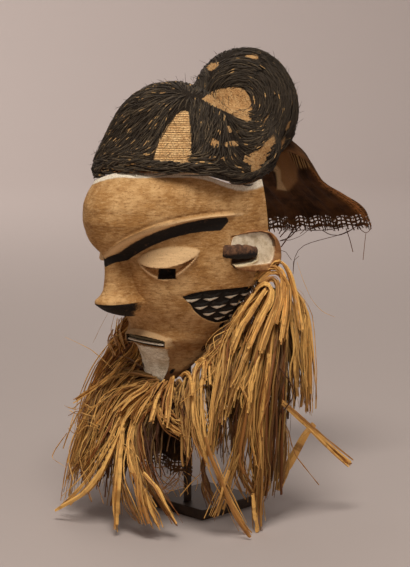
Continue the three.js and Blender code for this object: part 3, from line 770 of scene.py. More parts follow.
def pegMesh(name, side):
    p = pegSettings
    bm = bmesh.new()
    bmesh.ops.create_cone(bm, cap_ends=True, segments=p["sides"], radius1=p["thick"], radius2=p["thin"],
                          depth=p["long"])
    ends = [edge for edge in bm.edges if edge.calc_face_angle(0) > 0.8]
    bmesh.ops.bevel(bm, geom=ends, affect="EDGES", offset=p["bevel"], segments=3, profile=0.5, material=-1)
    lengthwise = [edge for edge in bm.edges if abs((edge.verts[0].co - edge.verts[1].co).z) > p["long"] / 2]
    bmesh.ops.subdivide_edges(bm, edges=lengthwise, cuts=p["cuts"], use_grid_fill=True)
    slope = math.radians(p["slope"])
    for v in bm.verts:
        around = math.atan2(v.co.y, v.co.x)
        ripple = 1 + 0.05 * math.sin(v.co.z * 0.5 + 2 * around) + 0.04 * math.sin(v.co.z * 1.3 + 3 * around)
        ripple *= p["swell"] - p["ends"] * (v.co.z / p["long"]) ** 2 * 4
        out, along, up = v.co.x * p["flat"] * ripple, v.co.z, -v.co.y * ripple
        along, up = (along * math.cos(slope) - up * math.sin(slope),
                     along * math.sin(slope) + up * math.cos(slope))
        x, y, z = earPlace(*(offset + start for offset, start in zip((out, along, up), p["middle"])))
        v.co = (x * side, y, z)
    bmesh.ops.scale(bm, verts=bm.verts, vec=(0.001,) * 3)
    bmesh.ops.recalc_face_normals(bm, faces=bm.faces)
    mesh = bpy.data.meshes.new(name)
    bm.to_mesh(mesh)
    bm.free()
    return mesh


def earWood():
    m = Finish("ear_wood")
    cloud, speck = m.noise(m.place(), 110, 4, 0.65), m.noise(m.place(), 700, 3, 0.7)
    ragged = (cloud - 0.5) * 3.0 + (speck - 0.5) * 2.0
    base = m.blend(m.step(cloud, 0.35, 0.7), (134, 86, 48), (190, 140, 90))
    base = m.blend(m.step(speck, 0.55, 0.7) * 0.5, base, (88, 54, 28))
    white = m.blend(m.step(cloud, 0.4, 0.7), (248, 230, 200), (210, 188, 152))
    chalk = m.step(m.fact("chalk") + ragged * 0.5, -0.5, 0.8) * (1 - m.step(speck, 0.56, 0.7) * 0.4)
    base = m.blend(chalk, base, white)
    # painted highlight along the lip of the ear's mouth
    base = m.blend(m.fact("lip") * 0.8, base, (240, 218, 174))
    # painted shade along the groove at the top of the field
    base = m.blend(m.step(m.fact("groove") + ragged * 0.3, 0.0, 0.6) * 0.8, base, (70, 44, 24))
    # painted shade in the notch behind the peg and under the ear
    base = m.blend(m.step(m.fact("hollow") + ragged * 0.4, -0.2, 1.5) * 0.92, base, (40, 27, 18))
    return m.done(Base_Color=base, Roughness=0.9, Normal=m.bump(cloud + speck * 0.6, 0.7),
                  Specular_IOR_Level=0.25)


def pegWood():
    m = Finish("peg_wood")
    cloud, speck = m.noise(m.place(), 170, 4, 0.7), m.noise(m.place(), 800, 3, 0.7)
    brown = m.blend(m.step(cloud, 0.4, 0.62), (78, 50, 32), (124, 86, 58))
    brown = m.blend(m.step(speck, 0.55, 0.7) * 0.4, brown, (40, 25, 18))
    # below its middle height the peg is near black: painted shade on its underside
    upper = m.step(m.height() + (cloud - 0.5) * 0.008, 0.3065, 0.3115)
    base = m.blend(upper, (24, 17, 13), brown)
    return m.done(Base_Color=base, Roughness=0.85, Normal=m.bump(cloud + speck * 0.6, 1.0))


earFinish, pegFinish = earWood(), pegWood()
for side, tag in ((1, "left"), (-1, "right")):
    mesh = gridMesh("ear_" + tag, earSettings["spokes"], earSettings["rings"],
                    lambda u, v: earShape(u, v)[0] * np.array([side, 1, 1]), earFacts)
    piece(closed(mesh), earFinish, "carved_face", 40)
    piece(pegMesh("ear_peg_" + tag, side), pegFinish, "carved_face", 50)
print("ears")

# the cap

capSettings = {"wall": 6, "turns": 200, "levels": 130, "inner": 0.22, "outer": 0.26, "blend": 14,
               "probe": 1.5, "perPixel": 1.17, "perDegree": 1.6, "loopAbove": -10, "mirrorBelow": -14,
               "rimBare": 0.035}
rolls = [((0, -40, 392), (94, 91, 55)), ((0, -50, 400), (88, 66, 90)),
         ((0, 63, 455), (64, 58, 70)), ((0, 5, 415), (84, 75, 52))]


def capReach(aim):
    total = 0
    for centre, radii in rolls:
        offset = (capCentre - np.array(centre)) / np.array(radii)
        scaled = aim / np.array(radii)
        a, b = (scaled * scaled).sum(-1), (scaled * offset).sum(-1)
        total = total + ((-b + np.sqrt(b * b - a * (offset @ offset - 1))) / a) ** capSettings["blend"]
    return total ** (1 / capSettings["blend"])


def capAim(turn, level):
    flat = np.cos(level)
    return stack(np.sin(turn) * flat, -np.cos(turn) * flat, np.sin(level))


def capEdgeLevel(turn):
    edge = capEdge(np.degrees(np.arctan2(np.sin(turn), np.cos(turn))))
    level = 0 * turn
    for _ in range(20):
        level = np.arcsin((edge - capCentre[2]) / capReach(capAim(turn, level)))
    return level


def capPoint(turn, share, inset):
    aim = capAim(turn, mix(capEdgeLevel(turn), math.pi / 2, share))
    return capCentre + aim * np.expand_dims(capReach(aim) - inset, -1)


def onCap(point, lift=0):
    aim = unit(point - capCentre)
    return capCentre + aim * np.expand_dims(capReach(aim) + lift, -1)


def capNormal(point):
    def height(place):
        away = place - capCentre
        return np.linalg.norm(away, axis=-1) - capReach(unit(away))

    slopes = [height(point + step) - height(point - step) for step in np.eye(3) * capSettings["probe"]]
    return unit(stack(*slopes))


def capHeightShare(point):
    aim = unit(point - capCentre)
    turn = np.arctan2(aim[..., 0], -aim[..., 1])
    low = capEdgeLevel(turn)
    return (np.arcsin(aim[..., 2]) - low) / (math.pi / 2 - low), turn


wedge = [(26, 17), (29, 18), (32, 16), (34, 2), (35, -10), (27, -9), (18, -8), (18, 2), (20, 7), (23, 14)]
wornSpots = [  # picture x and y, half length and half width in mm, slant in the picture
    (214.5, 143, 6.5, 5, -35), (231.5, 144, 9, 3.2, 8), (228.5, 129, 5, 3, -45), (212, 158, 5, 2.4, -15),
    (266, 119, 12, 2.6, 62), (288.5, 125.5, 6.5, 2.8, 60), (283, 142, 6, 2.6, 75), (254, 57.5, 7.5, 3.2, -5),
    (213, 68, 8, 3.6, 28), (126, 120.5, 4, 1.8, 30), (127, 131, 3.5, 1.6, 20), (160, 82.5, 5, 1.2, -5),
    (146, 99, 5, 1.4, 35), (163, 93, 5, 1.0, -10), (275, 93, 5, 1.8, 20), (240, 131, 6, 1.6, 15),
    (224, 158, 4, 1.8, 20), (236, 165, 4, 1.8, 0), (245, 176, 5, 1.6, 10), (106, 156, 4, 1.3, 40),
    (172, 88, 3, 1.2, -20), (292, 104, 4, 1.6, 70), (258, 130, 4, 1.6, 60), (110, 170, 4, 1.3, 0),
]
valley = [(201.6, 99.3), (209, 93), (218, 89), (235, 86.6), (245, 90), (250, 97.4), (252.8, 107), (252, 119),
          (249, 125.5), (241, 119.8), (227, 112), (212.6, 106)]
looped = [(273, 133.5), (277.5, 136), (274, 146), (269, 153), (265, 161), (260, 169), (252, 172), (250, 166),
          (243, 161), (246, 155), (256, 151), (263, 145), (266, 139)]
parting = [(27, 31), (56, 22)]  # compass angle and height over the horizon, both in degrees
farOut = -20
combSettings = {"middle": (38, 16, 466), "ahead": (0.62, -0.75, 0.22), "mirrorBelow": -5, "turns": (46, 68),
                "behind": (-4, 8), "rim": (0.03, 0.14)}


def capWear(point):
    # how far inside a bare place a point lies in mm, and how far inside the bare wedge in front
    aim = unit(point - capCentre)
    turn, level = np.degrees(np.arctan2(aim[..., 0], -aim[..., 1])), np.degrees(np.arcsin(aim[..., 2]))
    c = capSettings
    front = polygonDistance(turn, level, wedge) * c["perDegree"]
    seen = point[..., 0] - point[..., 1] > c["mirrorBelow"]
    x, y = toPicture(np.where(seen[..., None], point, point[..., [1, 0, 2]]))
    near = seen & (point[..., 0] > c["loopAbove"])
    ragged = 1.6 * np.sin(x * 1.1 + 2 * np.sin(y * 0.9)) + 1.2 * np.sin(y * 1.4 + x * 0.6)
    bare = np.maximum(front, np.where(near, polygonDistance(x, y, valley) * c["perPixel"], farOut))
    bare = np.maximum(bare, np.where(near, polygonDistance(x, y, looped) * c["perPixel"] + ragged, farOut))
    for middle, height, half, thin, slant in wornSpots:
        across, up = (x - middle) * c["perPixel"], (height - y) * c["perPixel"]
        slant = math.radians(slant)
        lengthwise = (across * math.cos(slant) + up * math.sin(slant)) / half
        sideways = (up * math.cos(slant) - across * math.sin(slant)) / thin
        bare = np.maximum(bare, (1 - np.hypot(lengthwise, sideways)) * thin + 0.3 * ragged)
    return bare, front


def likewise(flow, guide):  # turned about where it points against the guide
    return np.where(((flow * guide).sum(-1) < 0)[..., None], -flow, flow)


def combing(point):
    # the way the tufts lie: away from the parting in front, round the bare valley behind
    c = combSettings
    share, turn = capHeightShare(point)
    a, b = (onCap(capCentre + capAim(*np.radians(end))) for end in parting)
    along = np.clip((point - a) @ (b - a) / ((b - a) @ (b - a)), 0, 1)
    front = unit(point - a - (b - a) * along[..., None])
    mirror = np.where(point[..., :1] < c["mirrorBelow"], np.array([-1.0, 1, 1]), np.array([1.0, 1, 1]))
    around = unit(np.cross(unit(np.array(c["ahead"])), point * mirror - np.array(c["middle"]))) * mirror
    around = likewise(around, front)
    behind = np.maximum(smooth(*c["turns"], np.abs(np.degrees(turn))), smooth(*c["behind"], point[..., 1]))
    flow = unit(mix(front, around, behind[..., None]))
    rim = likewise(stack(np.cos(turn), np.sin(turn), 0 * turn), flow)
    flow = mix(rim, flow, smooth(*c["rim"], share)[..., None])
    normal = capNormal(point)
    return unit(flow - normal * (flow * normal).sum(-1)[..., None]), normal


def capShape(u, v):
    c, turn = capSettings, (u * 2 - 1) * math.pi
    inner = v < c["inner"]
    share = np.where(inner, 1 - v / c["inner"], (v - c["outer"]) / (1 - c["outer"]))
    place = capPoint(turn, np.clip(share, 0, 1), np.where(inner, c["wall"], 0.0))
    pole = onCap(capCentre + np.array([0, 0, 1.0]))
    place = np.where((v >= 1)[:, None], pole, place)
    return np.where((v <= 0)[:, None], pole - np.array([0, 0, c["wall"]]), place)


def capFacts(u, v):
    c = capSettings
    bare, big = capWear(onCap(capShape(u, v)))
    outside = v > (c["inner"] + c["outer"]) / 2
    share = np.clip((v - c["outer"]) / (1 - c["outer"]), 0, 1)
    bare = np.minimum(bare, (share - c["rimBare"]) * 90)
    return {"bare": np.where(outside, bare, 5), "rows": smooth(-3, 0, np.where(outside, big, farOut))}


def wovenCap():
    m = Finish("woven_cap")
    where = m.place()
    blotch, speck = m.noise(where, 160, 4, 0.6), m.noise(where, 1100, 3, 0.65)
    course, wide = (m.math("SINE", m.height() * (2 * math.pi / apart) + (blotch - 0.5) * 3.5)
                    for apart in (0.0023, 0.0081))  # the courses, and the broader ribs, in metres
    stitch = m.node("ShaderNodeTexVoronoi", {"feature": "F1"},
                    {"Vector": m.place((1, 1, 1.3)), "Scale": 560.0, "Randomness": 0.8})
    rows = m.fact("rows")
    natural = m.blend(m.step(blotch, 0.35, 0.7), (222, 172, 114), (252, 210, 150))
    natural = m.blend(m.step(stitch, 0.42, 0.75) * 0.6, natural, (132, 90, 50))
    natural = m.blend(m.step(speck, 0.6, 0.7) * 0.5, natural, (90, 58, 32))
    natural = m.blend(m.step(course, 0.3, 0.95) * rows * 0.55, natural, (120, 78, 42))
    natural = m.blend(m.step(wide, 0.85, 0.99) * rows * 0.35, natural, (64, 40, 24))
    # the bare weave outside the front wedge is darker: painted shade of the valley behind the front lobe
    natural = m.blend((1 - rows) * 0.5, natural, (140, 96, 52))
    holes = m.step(m.noise(where, 300, 2, 0.5), 0.66, 0.7)
    natural = m.blend(holes * (1 - rows), natural, (30, 22, 16))
    dark = m.blend(m.step(speck, 0.4, 0.7), (22, 17, 12), (60, 46, 33))
    bare = m.step(m.fact("bare") + (blotch - 0.5) * 4.0, -0.5, 0.6)
    relief = course * rows * 0.4 + stitch * -0.9 + speck * 0.3
    return m.done(Base_Color=m.blend(bare, dark, natural), Roughness=0.95,
                  Normal=m.bump(relief, 0.9), Specular_IOR_Level=0.2)


capMesh = gridMesh("cap_weave", capSettings["turns"], capSettings["levels"], capShape, capFacts)
piece(closed(capMesh, 0.05), wovenCap(), "raffia_cap", 60)
print("cap base")

tuftSettings = {"count": 8800, "tried": 3, "points": 6, "long": 25, "spread": (0.55, 1.25), "low": -0.35,
                "veer": 0.22, "arch": (0.4, 2.2), "half": (0.4, 1.05), "pieces": 2, "seed": 5,
                "taper": (0.5, 0.95, 1.05, 0.95, 0.75, 0.3)}


def dyedRaffia():
    m = Finish("dyed_raffia")
    tone, across, along = m.fact("tone"), m.fact("across"), m.fact("along")
    where = m.vector(across * 3.0, along * 3.0, tone * 91.0)
    fibre = m.noise(where, 4.0, 3, 0.7)
    base = m.blend(m.step(fibre, 0.3, 0.75), (14, 11, 8), (92, 76, 58))
    base = m.blend(m.step(tone, 0.55, 0.95) * m.step(fibre, 0.35, 0.65) * 0.8, base, (138, 116, 86))
    spot = m.math("ABSOLUTE", along - m.math("FRACT", tone * 997.0))
    fleck = m.step(tone, 0.88, 0.885) * m.step(spot, 0.12, 0.09)
    base = m.blend(fleck, base, (214, 168, 108))
    return m.done(Base_Color=base, Roughness=0.66, Normal=m.bump(fibre, 0.5), Specular_IOR_Level=0.3)


def layTufts(rng):
    s, points = tuftSettings, tuftSettings["points"]
    aims = rng.normal(size=(s["count"] * s["tried"], 3))
    aims[:, 2] = np.abs(aims[:, 2]) + s["low"]
    start = onCap(capCentre + unit(aims))
    share, _ = capHeightShare(start)
    start = start[(share > -0.01) & (share < 1.0)]
    length = s["long"] * rng.uniform(*s["spread"], len(start))
    heading, normal = combing(start)
    path, normals = [start], [normal]
    turned = rng.normal(0, s["veer"], len(start))
    for _ in range(points - 1):
        sway = np.cross(normal, heading) * np.tan(turned)[:, None]
        path.append(onCap(path[-1] + unit(heading + sway) * (length / (points - 1))[:, None]))
        heading, normal = combing(path[-1])
        normals.append(normal)
        turned = turned * 0.8 + rng.normal(0, 0.05, len(start))
    path, normals = np.stack(path, 1), np.stack(normals, 1)
    share, _ = capHeightShare(path[:, -1])
    bare, _ = capWear(path.reshape(-1, 3))
    bare = bare.reshape(path.shape[:2]) + rng.normal(0, 0.7, (len(path), 1))
    kept = (bare[:, 1:-1].max(1) < 0.4) & (share > -0.02)
    path, normals = path[kept][:s["count"]], normals[kept][:s["count"]]
    print("tufts laid", len(path), "of", kept.sum())
    t = np.clip(np.linspace(0, 1, points) * 0.92 + 0.04, 0, 1)
    arch = rng.uniform(*s["arch"], (len(path), 1)) * np.sin(math.pi * t) ** 0.6 - 0.5
    return path + normals * arch[..., None], normals


def tiltTo(paths, normals):
    # the tilt that turns a swept strip's flat side to face along the normals
    tangent = unit(np.gradient(paths, axis=1))
    side = unit(np.cross(tangent, (0, 0, 1.0)))
    rise = np.cross(side, tangent)
    return np.arctan2((normals * side).sum(-1), (normals * rise).sum(-1))


def layCap(dyed):
    s, rng = tuftSettings, np.random.default_rng(tuftSettings["seed"])
    tufts, normals = layTufts(rng)
    tilts = tiltTo(tufts, normals)
    for part in range(s["pieces"]):
        some = slice(part, None, s["pieces"])
        paths = tufts[some]
        widths = rng.uniform(*s["half"], (len(paths), 1)) * np.array(s["taper"])
        tone = rng.random(len(paths))
        dim = (paths[:, 0, 1] > 5) & (rng.random(len(paths)) < 0.6)  # more of the tufts behind are dark
        mesh = strandMesh(f"cap_tufts_{part + 1}", paths, widths, tilts[some],
                          tone=tone * np.where(dim, 0.6, 1))
        piece(mesh, dyed, "raffia_cap")
    print("tufts")


rimSettings = {"strands": 26, "points": 150, "seed": 31, "up": 0.03, "inset": 1.0, "twist": 22, "rise": 0.6,
               "radius": (0.6, 3.0), "half": (0.6, 1.3)}


def rimBand(dyed):
    s, rng = rimSettings, np.random.default_rng(rimSettings["seed"])
    turn = np.linspace(-math.pi, math.pi, s["points"])
    base = capPoint(turn, s["up"] + 0 * turn, s["inset"])
    outward = unit((base - capCentre) * np.array([1, 1, 0]))
    paths = []
    for _ in range(s["strands"]):
        phase, radius = rng.uniform(0, 6.28), rng.uniform(*s["radius"])
        twist = turn * s["twist"] + phase + 0.5 * np.sin(turn * 7 + phase)
        up = radius * 1.1 * np.sin(twist) + s["rise"]
        paths.append(base + outward * (radius * np.cos(twist))[:, None] + stack(0, 0, up))
    mesh = strandMesh("cap_rim_band", np.array(paths), rng.uniform(*s["half"], (s["strands"], 1)),
                      rng.uniform(0, 6, (s["strands"], 1)), "thread", tone=rng.random(s["strands"]) * 0.85)
    piece(mesh, dyed, "raffia_cap")


hairSettings = {"count": 650, "points": 5, "seed": 8, "low": -0.3, "sunk": 0.5, "long": (5, 15),
                "out": (0.2, 0.8), "astray": 0.4, "half": (0.3, 0.26, 0.22, 0.18, 0.1)}


def strayHairs(dyed):
    s, rng = hairSettings, np.random.default_rng(hairSettings["seed"])
    aims = rng.normal(size=(s["count"], 3))
    aims[:, 2] = np.abs(aims[:, 2]) + s["low"]
    start = onCap(capCentre + unit(aims), -s["sunk"])
    share, _ = capHeightShare(start)
    start = start[share > 0.0]
    heading, normal = combing(start)
    length = rng.uniform(*s["long"], len(start))
    out = normal * rng.uniform(*s["out"], (len(start), 1))
    lean = unit(out + heading + rng.normal(0, s["astray"], start.shape))
    t = np.linspace(0, 1, s["points"])[None, :, None]
    droop = normal[:, None] * (t * (1 - t)) * rng.uniform(-3, 3, (len(start), 1, 1))
    paths = start[:, None] + lean[:, None] * t * length[:, None, None] + droop
    mesh = strandMesh("cap_stray_hairs", paths, np.array(s["half"]), 0, "thread", tone=rng.random(len(start)))
    piece(mesh, dyed, "raffia_cap")


dyed = dyedRaffia()
layCap(dyed)
rimBand(dyed)
strayHairs(dyed)
print("cap rim and hairs")


def driedRaffia():
    m = Finish("dried_raffia")
    tone, across, along, deep = m.fact("tone"), m.fact("across"), m.fact("along"), m.fact("deep")
    where = m.vector(across * 7.0, along * 3.0, tone * 173.0)
    fibre = m.noise(where, 3.0, 3, 0.7)
    stain = m.noise(m.vector(along * 3.0, tone * 57.0), 3.0, 2, 0.6)
    base = m.blend(m.step(tone, 0.05, 0.95), (144, 80, 25), (255, 197, 109))
    base = m.blend(m.step(stain, 0.5, 0.72) * 0.6, base, (122, 68, 24))
    base = m.blend(m.step(fibre, 0.5, 0.75) * 0.5, base, (104, 58, 20))
    # deep: painted shade on the strips that lie deeper in the beard
    base = m.blend(deep, base, (52, 25, 6))
    return m.done(Base_Color=base, Roughness=0.55, Normal=m.bump(fibre, 0.4), Specular_IOR_Level=0.4)


raffia = driedRaffia()


def rounded(line, count):
    # a line of a few places as evenly spaced points, its corners rounded
    line = np.array(line, float)
    run = np.concatenate([[0], np.cumsum(np.linalg.norm(np.diff(line[:, :2], axis=0), axis=1))])
    fine = np.linspace(0, run[-1], 120)
    track = np.stack([np.interp(fine, run, column) for column in line.T], -1)
    for _ in range(60):
        track[1:-1] = (track[:-2] + track[1:-1] + track[2:]) / 3
    return track[np.linspace(0, 119, count).astype(int)]


# the two woven cloths

neckMarks = {  # parts of the neck cloth, outlined in the picture
    "lit": [(284, 137), (289.5, 137), (306, 152), (314, 163), (311, 167), (300, 168), (293, 160)],
    "crease": [(302, 166), (309, 164), (316, 171), (322, 180), (318, 188), (308, 184)],
    "round": [(276, 152), (290, 149), (299, 165), (298, 180), (289, 190), (277, 189), (281, 180), (274, 166)],
    "ridge": [(313, 158), (326, 177), (340, 187), (352, 195), (366, 210), (374, 224), (366, 226), (359, 214),
              (347, 203), (335, 194), (321, 185), (310, 168)],
    "curl": [(270, 166), (276, 164), (281, 170), (281.5, 180), (287, 190), (277, 188.5), (277.5, 181),
             (276, 172)],
}


def neckMark(name, points):  # picture units inside one of those parts
    return polygonDistance(*toPicture(points), neckMarks[name])


neckY = curve([[0, 85], [0.2, 118], [0.4, 147], [0.6, 180], [0.85, 221], [1, 237]])
neckZ = curve([[0, 421], [0.2, 402], [0.4, 370], [0.6, 353], [0.85, 331], [1, 307]])
neckSettings = {
    "left": (56, 50), "right": (-68, -124), "arch": 33, "archUp": 9, "droop": 20, "wave": 6, "waves": 5,
    "pucker": 1.6, "puckers": 58, "ripple": 1.2, "ripples": 47, "seamIn": 3.5, "seamDown": 1.5, "round": 7,
    "crease": 5, "pleat": 0.5, "pleats": 130,
}


def neckClothPoint(u, v):
    n, arch = neckSettings, np.sin(math.pi * u)

    def hung(share):
        x = mix(mix(*n["left"], share), mix(*n["right"], share), u)
        y = neckY(share) + n["arch"] * arch * np.maximum(0, 1 - share) ** 1.5
        y = y + n["wave"] * share * np.sin(u * math.pi * n["waves"])
        y = y + n["pucker"] * (1 - share) * np.sin(u * n["puckers"])
        z = neckZ(share) + n["archUp"] * arch * (1 - share) - n["droop"] * u * share
        return stack(x, y, z + n["ripple"] * np.sin(u * n["ripples"] + share * 3))

    seam = hung(0 * v)
    turn = np.arctan2(seam[:, 0], capCentre[1] - seam[:, 1])
    edge = capPoint(turn, 0 * turn, n["seamIn"]) - np.array([0, 0, n["seamDown"]])
    sheet = hung(v) + (edge - seam) * (np.maximum(0, 1 - v) ** 3)[:, None]
    fold = n["round"] * smooth(-8, 9, neckMark("round", sheet))
    fold = fold - n["crease"] * smooth(-6, 6, neckMark("crease", sheet))
    pleat = n["pleat"] * np.sin(u * n["pleats"]) * smooth(-3, 2, neckMark("lit", sheet))
    return sheet + (fold + pleat)[:, None] * pictureBack


def neckFacts(u, v):
    points = neckClothPoint(u, v)
    # lit, ridge, round and curl mark painted highlights on the folds
    edges = {"lit": (-1.5, 1.5), "ridge": (-2, 4), "round": (-2, 3), "curl": (-0.8, 1)}
    marks = {name: smooth(*soft, neckMark(name, points)) for name, soft in edges.items()}
    return {"across": u, "along": v} | marks


innerSettings = {"left": 50, "right": -58, "narrow": 0.5, "front": -58, "forward": 17, "waves": 4.5,
                 "wave": 2, "hemWave": 4, "top": 150, "foot": 58}


def innerClothPoint(u, v):
    s = innerSettings
    wave = np.sin(u * math.pi * s["waves"]) * (s["wave"] + s["hemWave"] * v)
    x = mix(s["right"], s["left"], u) * mix(s["narrow"], 1, np.abs(v) ** 0.6)
    return stack(x, s["front"] - s["forward"] * v + wave, mix(s["top"], s["foot"], v))


weaves = {  # threads across and along, where the open hem begins, its meshes, and how far it is torn
    "neck_weave": {"light": (116, 74, 38), "dark": (62, 36, 15), "warp": 190, "weft": 150, "hem": 0.895,
                   "across": 30, "along": 42, "torn": 0.06},
    "inner_weave": {"light": (84, 56, 28), "dark": (38, 22, 10), "warp": 90, "weft": 80, "hem": 0.8,
                    "across": 26, "along": 24, "torn": 0.16},
}


def wovenCloth(name):
    m, w = Finish(name), weaves[name]
    u, v = m.fact("across"), m.fact("along")
    cloud, shaggy = m.noise(m.place(), 45, 4, 0.6), m.noise(m.place(), 260, 4, 0.7)
    warp, weft = m.math("SINE", u * (math.pi * w["warp"])), m.math("SINE", v * (math.pi * w["weft"]))
    check = m.math("ABSOLUTE", warp * weft)
    streak = m.noise(m.vector(u * (w["warp"] / 3), v * 6.0), 1.0, 2, 0.6)
    base = m.blend(m.step(cloud, 0.3, 0.7), w["dark"], w["light"])
    base = m.blend(m.step(streak, 0.5, 0.7) * 0.4, base, (124, 82, 42))
    pleats = m.step(m.math("SINE", u * 150 + v * 20 + cloud * 5), -0.6, 0.7)
    # painted highlight on the round fold
    base = m.blend(m.fact("round") * 0.8, base, (204, 150, 96))
    base = m.blend(m.fact("lit") * 0.9, base, m.blend(pleats, (96, 60, 26), (236, 190, 124)))
    # painted highlight on the curled edge
    base = m.blend(m.fact("curl") * 0.9, base, (246, 206, 150))
    base = m.blend(m.step(1 - check, 0.55, 1.0) * 0.5, base, (24, 13, 6))
    # painted highlight along the ridge, broken by shaggy threads
    ridge = m.fact("ridge") * m.step(shaggy * 0.6 + streak * 0.4, 0.4, 0.56)
    base = m.blend(ridge, base, (236, 160, 88))

    # the open hem: meshes of a net, some of them torn away
    hem, across, along, torn = w["hem"], w["across"], w["along"], w["torn"]
    wobble = m.noise(m.vector(u * (across * 0.6), v * (along * 0.6)), 1.0, 2, 0.6)
    ragged = m.noise(m.vector(u * (across * 0.3)), 1.0, 2, 0.6)
    meshes = [m.math("PINGPONG", share * (count * 2.0) + wobble * 2.2, 1.0)
              for share, count in ((u, across), (v, along))]
    hole = m.step(meshes[0], 0.3, 0.42) * m.step(meshes[1], 0.3, 0.42) * m.step(wobble, 0.4, 0.48)
    low = v + (ragged - 0.5) * torn
    hole = hole * m.step(low, hem, hem + torn * 0.2)
    gone = m.step(low, 1 - torn * 0.35, 1 - torn * 0.3) * m.step(meshes[0], 0.15, 0.25)
    base = m.blend(m.step(low, hem, hem + torn * 0.3) * 0.4, base, (136, 94, 54))
    return m.done(Base_Color=base, Roughness=0.9, Normal=m.bump(check, 0.5), Specular_IOR_Level=0.2,
                  Alpha=1 - m.math("MAXIMUM", hole, gone))


clothThick = 1.0


def clothPiece(name, shape, facts, node, columns, rows, material):
    mesh = gridMesh(name, columns, rows, shape, facts)
    bm = bmesh.new()
    bm.from_mesh(mesh)
    bmesh.ops.recalc_face_normals(bm, faces=bm.faces)
    oneSide = len(bm.verts)
    bmesh.ops.solidify(bm, geom=bm.faces, thickness=clothThick * 0.001)
    bmesh.ops.recalc_face_normals(bm, faces=bm.faces)
    marks = [bm.verts.layers.float.get(mark) for mark in neckMarks]
    # the marks on the folds are painted highlights
    for vertex in list(bm.verts)[:oneSide]:  # the painted folds show on the other side only
        for layer in filter(None, marks):
            vertex[layer] = 0
    bm.to_mesh(mesh)
    bm.free()
    return piece(mesh, material, node, 60)


def sheetSize(shape):
    # width and length along the sheet's longest lines, and its area, in metres
    count = 60
    u, v = np.meshgrid(np.linspace(0, 1, count), np.linspace(0, 1, count), indexing="ij")
    p = shape(u.ravel(), v.ravel()).reshape(count, count, 3) * 0.001
    width = np.linalg.norm(np.diff(p, axis=0), axis=-1).sum(0)
    length = np.linalg.norm(np.diff(p, axis=1), axis=-1).sum(1)
    area = np.linalg.norm(np.cross(np.diff(p, axis=0)[:, :-1], np.diff(p, axis=1)[:-1]), axis=-1).sum()
    return float(width.max()), float(length.max()), float(area)


hangingThreads = [  # threads of the torn hem in the picture, with their half width in mm
    ([(357, 226), (348, 232), (336, 236), (320, 240), (306, 244), (298.7, 248), (294, 258), (293, 274)], 0.5),
    ([(322, 230), (330, 235), (340, 235.5), (350, 231), (357, 226)], 0.6),
    ([(311, 228), (301, 236), (291, 240), (281, 241)], 0.4),
    ([(300, 218), (293, 230), (286, 240), (281, 247)], 1.0),
    ([(305, 218), (297, 230), (289, 238), (280, 241)], 0.9),
    ([(293, 219), (287, 229), (280, 237)], 0.9),
    ([(286, 219), (282, 228), (279, 234)], 0.8),
    ([(280, 250), (286, 252), (291.5, 260)], 0.4),
    ([(346, 228), (350, 240), (353, 252)], 0.6),
    ([(366, 233), (364.5, 245), (363, 260)], 0.45),
    ([(356, 224), (361, 230), (366, 233.5), (370.5, 230), (371, 222)], 0.5),
    ([(291, 233), (302, 229.5), (312, 230.5), (330, 230), (346, 226)], 0.7),
    ([(299, 256), (293.5, 261), (293, 270)], 0.35),
    ([(355, 210), (354, 218), (351, 226)], 0.7),
    ([(355, 219), (358, 225), (361, 229)], 0.6),
    ([(312, 217), (309, 226), (300, 234)], 0.5),
    ([(334, 218), (337, 226), (333, 231)], 0.45),
]


threadSettings = {"samples": 80, "hem": 0.97, "points": 12, "proud": 2, "palest": 0.35, "deep": 0.5}


def layThreads():
    # how near each thread hangs is read from the hem above it
    s = threadSettings
    hem = neckClothPoint(np.linspace(0, 1, s["samples"]), np.full(s["samples"], s["hem"]))
    order = np.argsort(toPicture(hem)[0])
    across, near = toPicture(hem)[0][order], (hem @ pictureBack)[order]
    paths = []
    for line, _ in hangingThreads:
        track = rounded(np.array([(x, y, 0) for x, y in line]), s["points"])
        track[:, 2] = np.interp(track[:, 0], across, near) + s["proud"]
        paths.append(inPicture(track))
    return np.array(paths), np.array([half for _, half in hangingThreads])[:, None]


neckCloth = clothPiece("neck_cloth_sheet", neckClothPoint, neckFacts, "neck_cloth", 150, 90,
                       wovenCloth("neck_weave"))
innerCloth = clothPiece("inner_cloth_sheet", innerClothPoint, lambda u, v: {"across": u, "along": v},
                        "inner_cloth", 80, 60, wovenCloth("inner_weave"))
threadPaths, threadWidths = layThreads()
threadTones = np.linspace(0, threadSettings["palest"], len(threadPaths))
# the hanging threads take half of the painted shade
threadMesh = strandMesh("hem_threads", threadPaths, threadWidths, 0, "thread", tone=threadTones,
                        deep=threadSettings["deep"])
looseThreads = piece(threadMesh, raffia, "neck_cloth", 60)
width, length, area = sheetSize(neckClothPoint)
print("neck cloth", width, length, area)
width, length, area = sheetSize(innerClothPoint)
print("inner cloth", width, length, area)

# the beard

beardSettings = {
    "turn": 118, "hub": (0, -15, 0), "bulge": 6, "lift": 5, "bulgeAt": 0.05, "points": 15, "samples": 60,
    "seed": 12, "pieces": 3, "far": 30, "farEnds": (-1, -0.25), "under": 74, "underDeep": 13,
    "gaps": ((0.22, 0.15), (-0.46, 0.12)), "bend": 0.8, "bent": 0.13, "mostBend": 5, "clear": 1.2,
    "straw": 0.58, "broad": 4, "lean": 0.45, "middle": (0, -15, 20), "turning": 0.2,
}
tieZ = curve([[0, 162], [0.18, 172], [0.36, 194], [0.6, 232], [0.85, 270], [1, 287]])
tieX = curve([[0, 0], [0.18, 20], [0.36, 42], [0.6, 64], [0.85, 84], [1, 92]])
tieY = curve([[0, -72], [0.18, -66], [0.36, -50], [0.6, -29], [0.85, -12], [1, 0]])
footReach = curve([[-1, 116], [-0.6, 146], [-0.3, 157], [0, 136], [0.35, 125], [0.7, 112], [1, 98]])
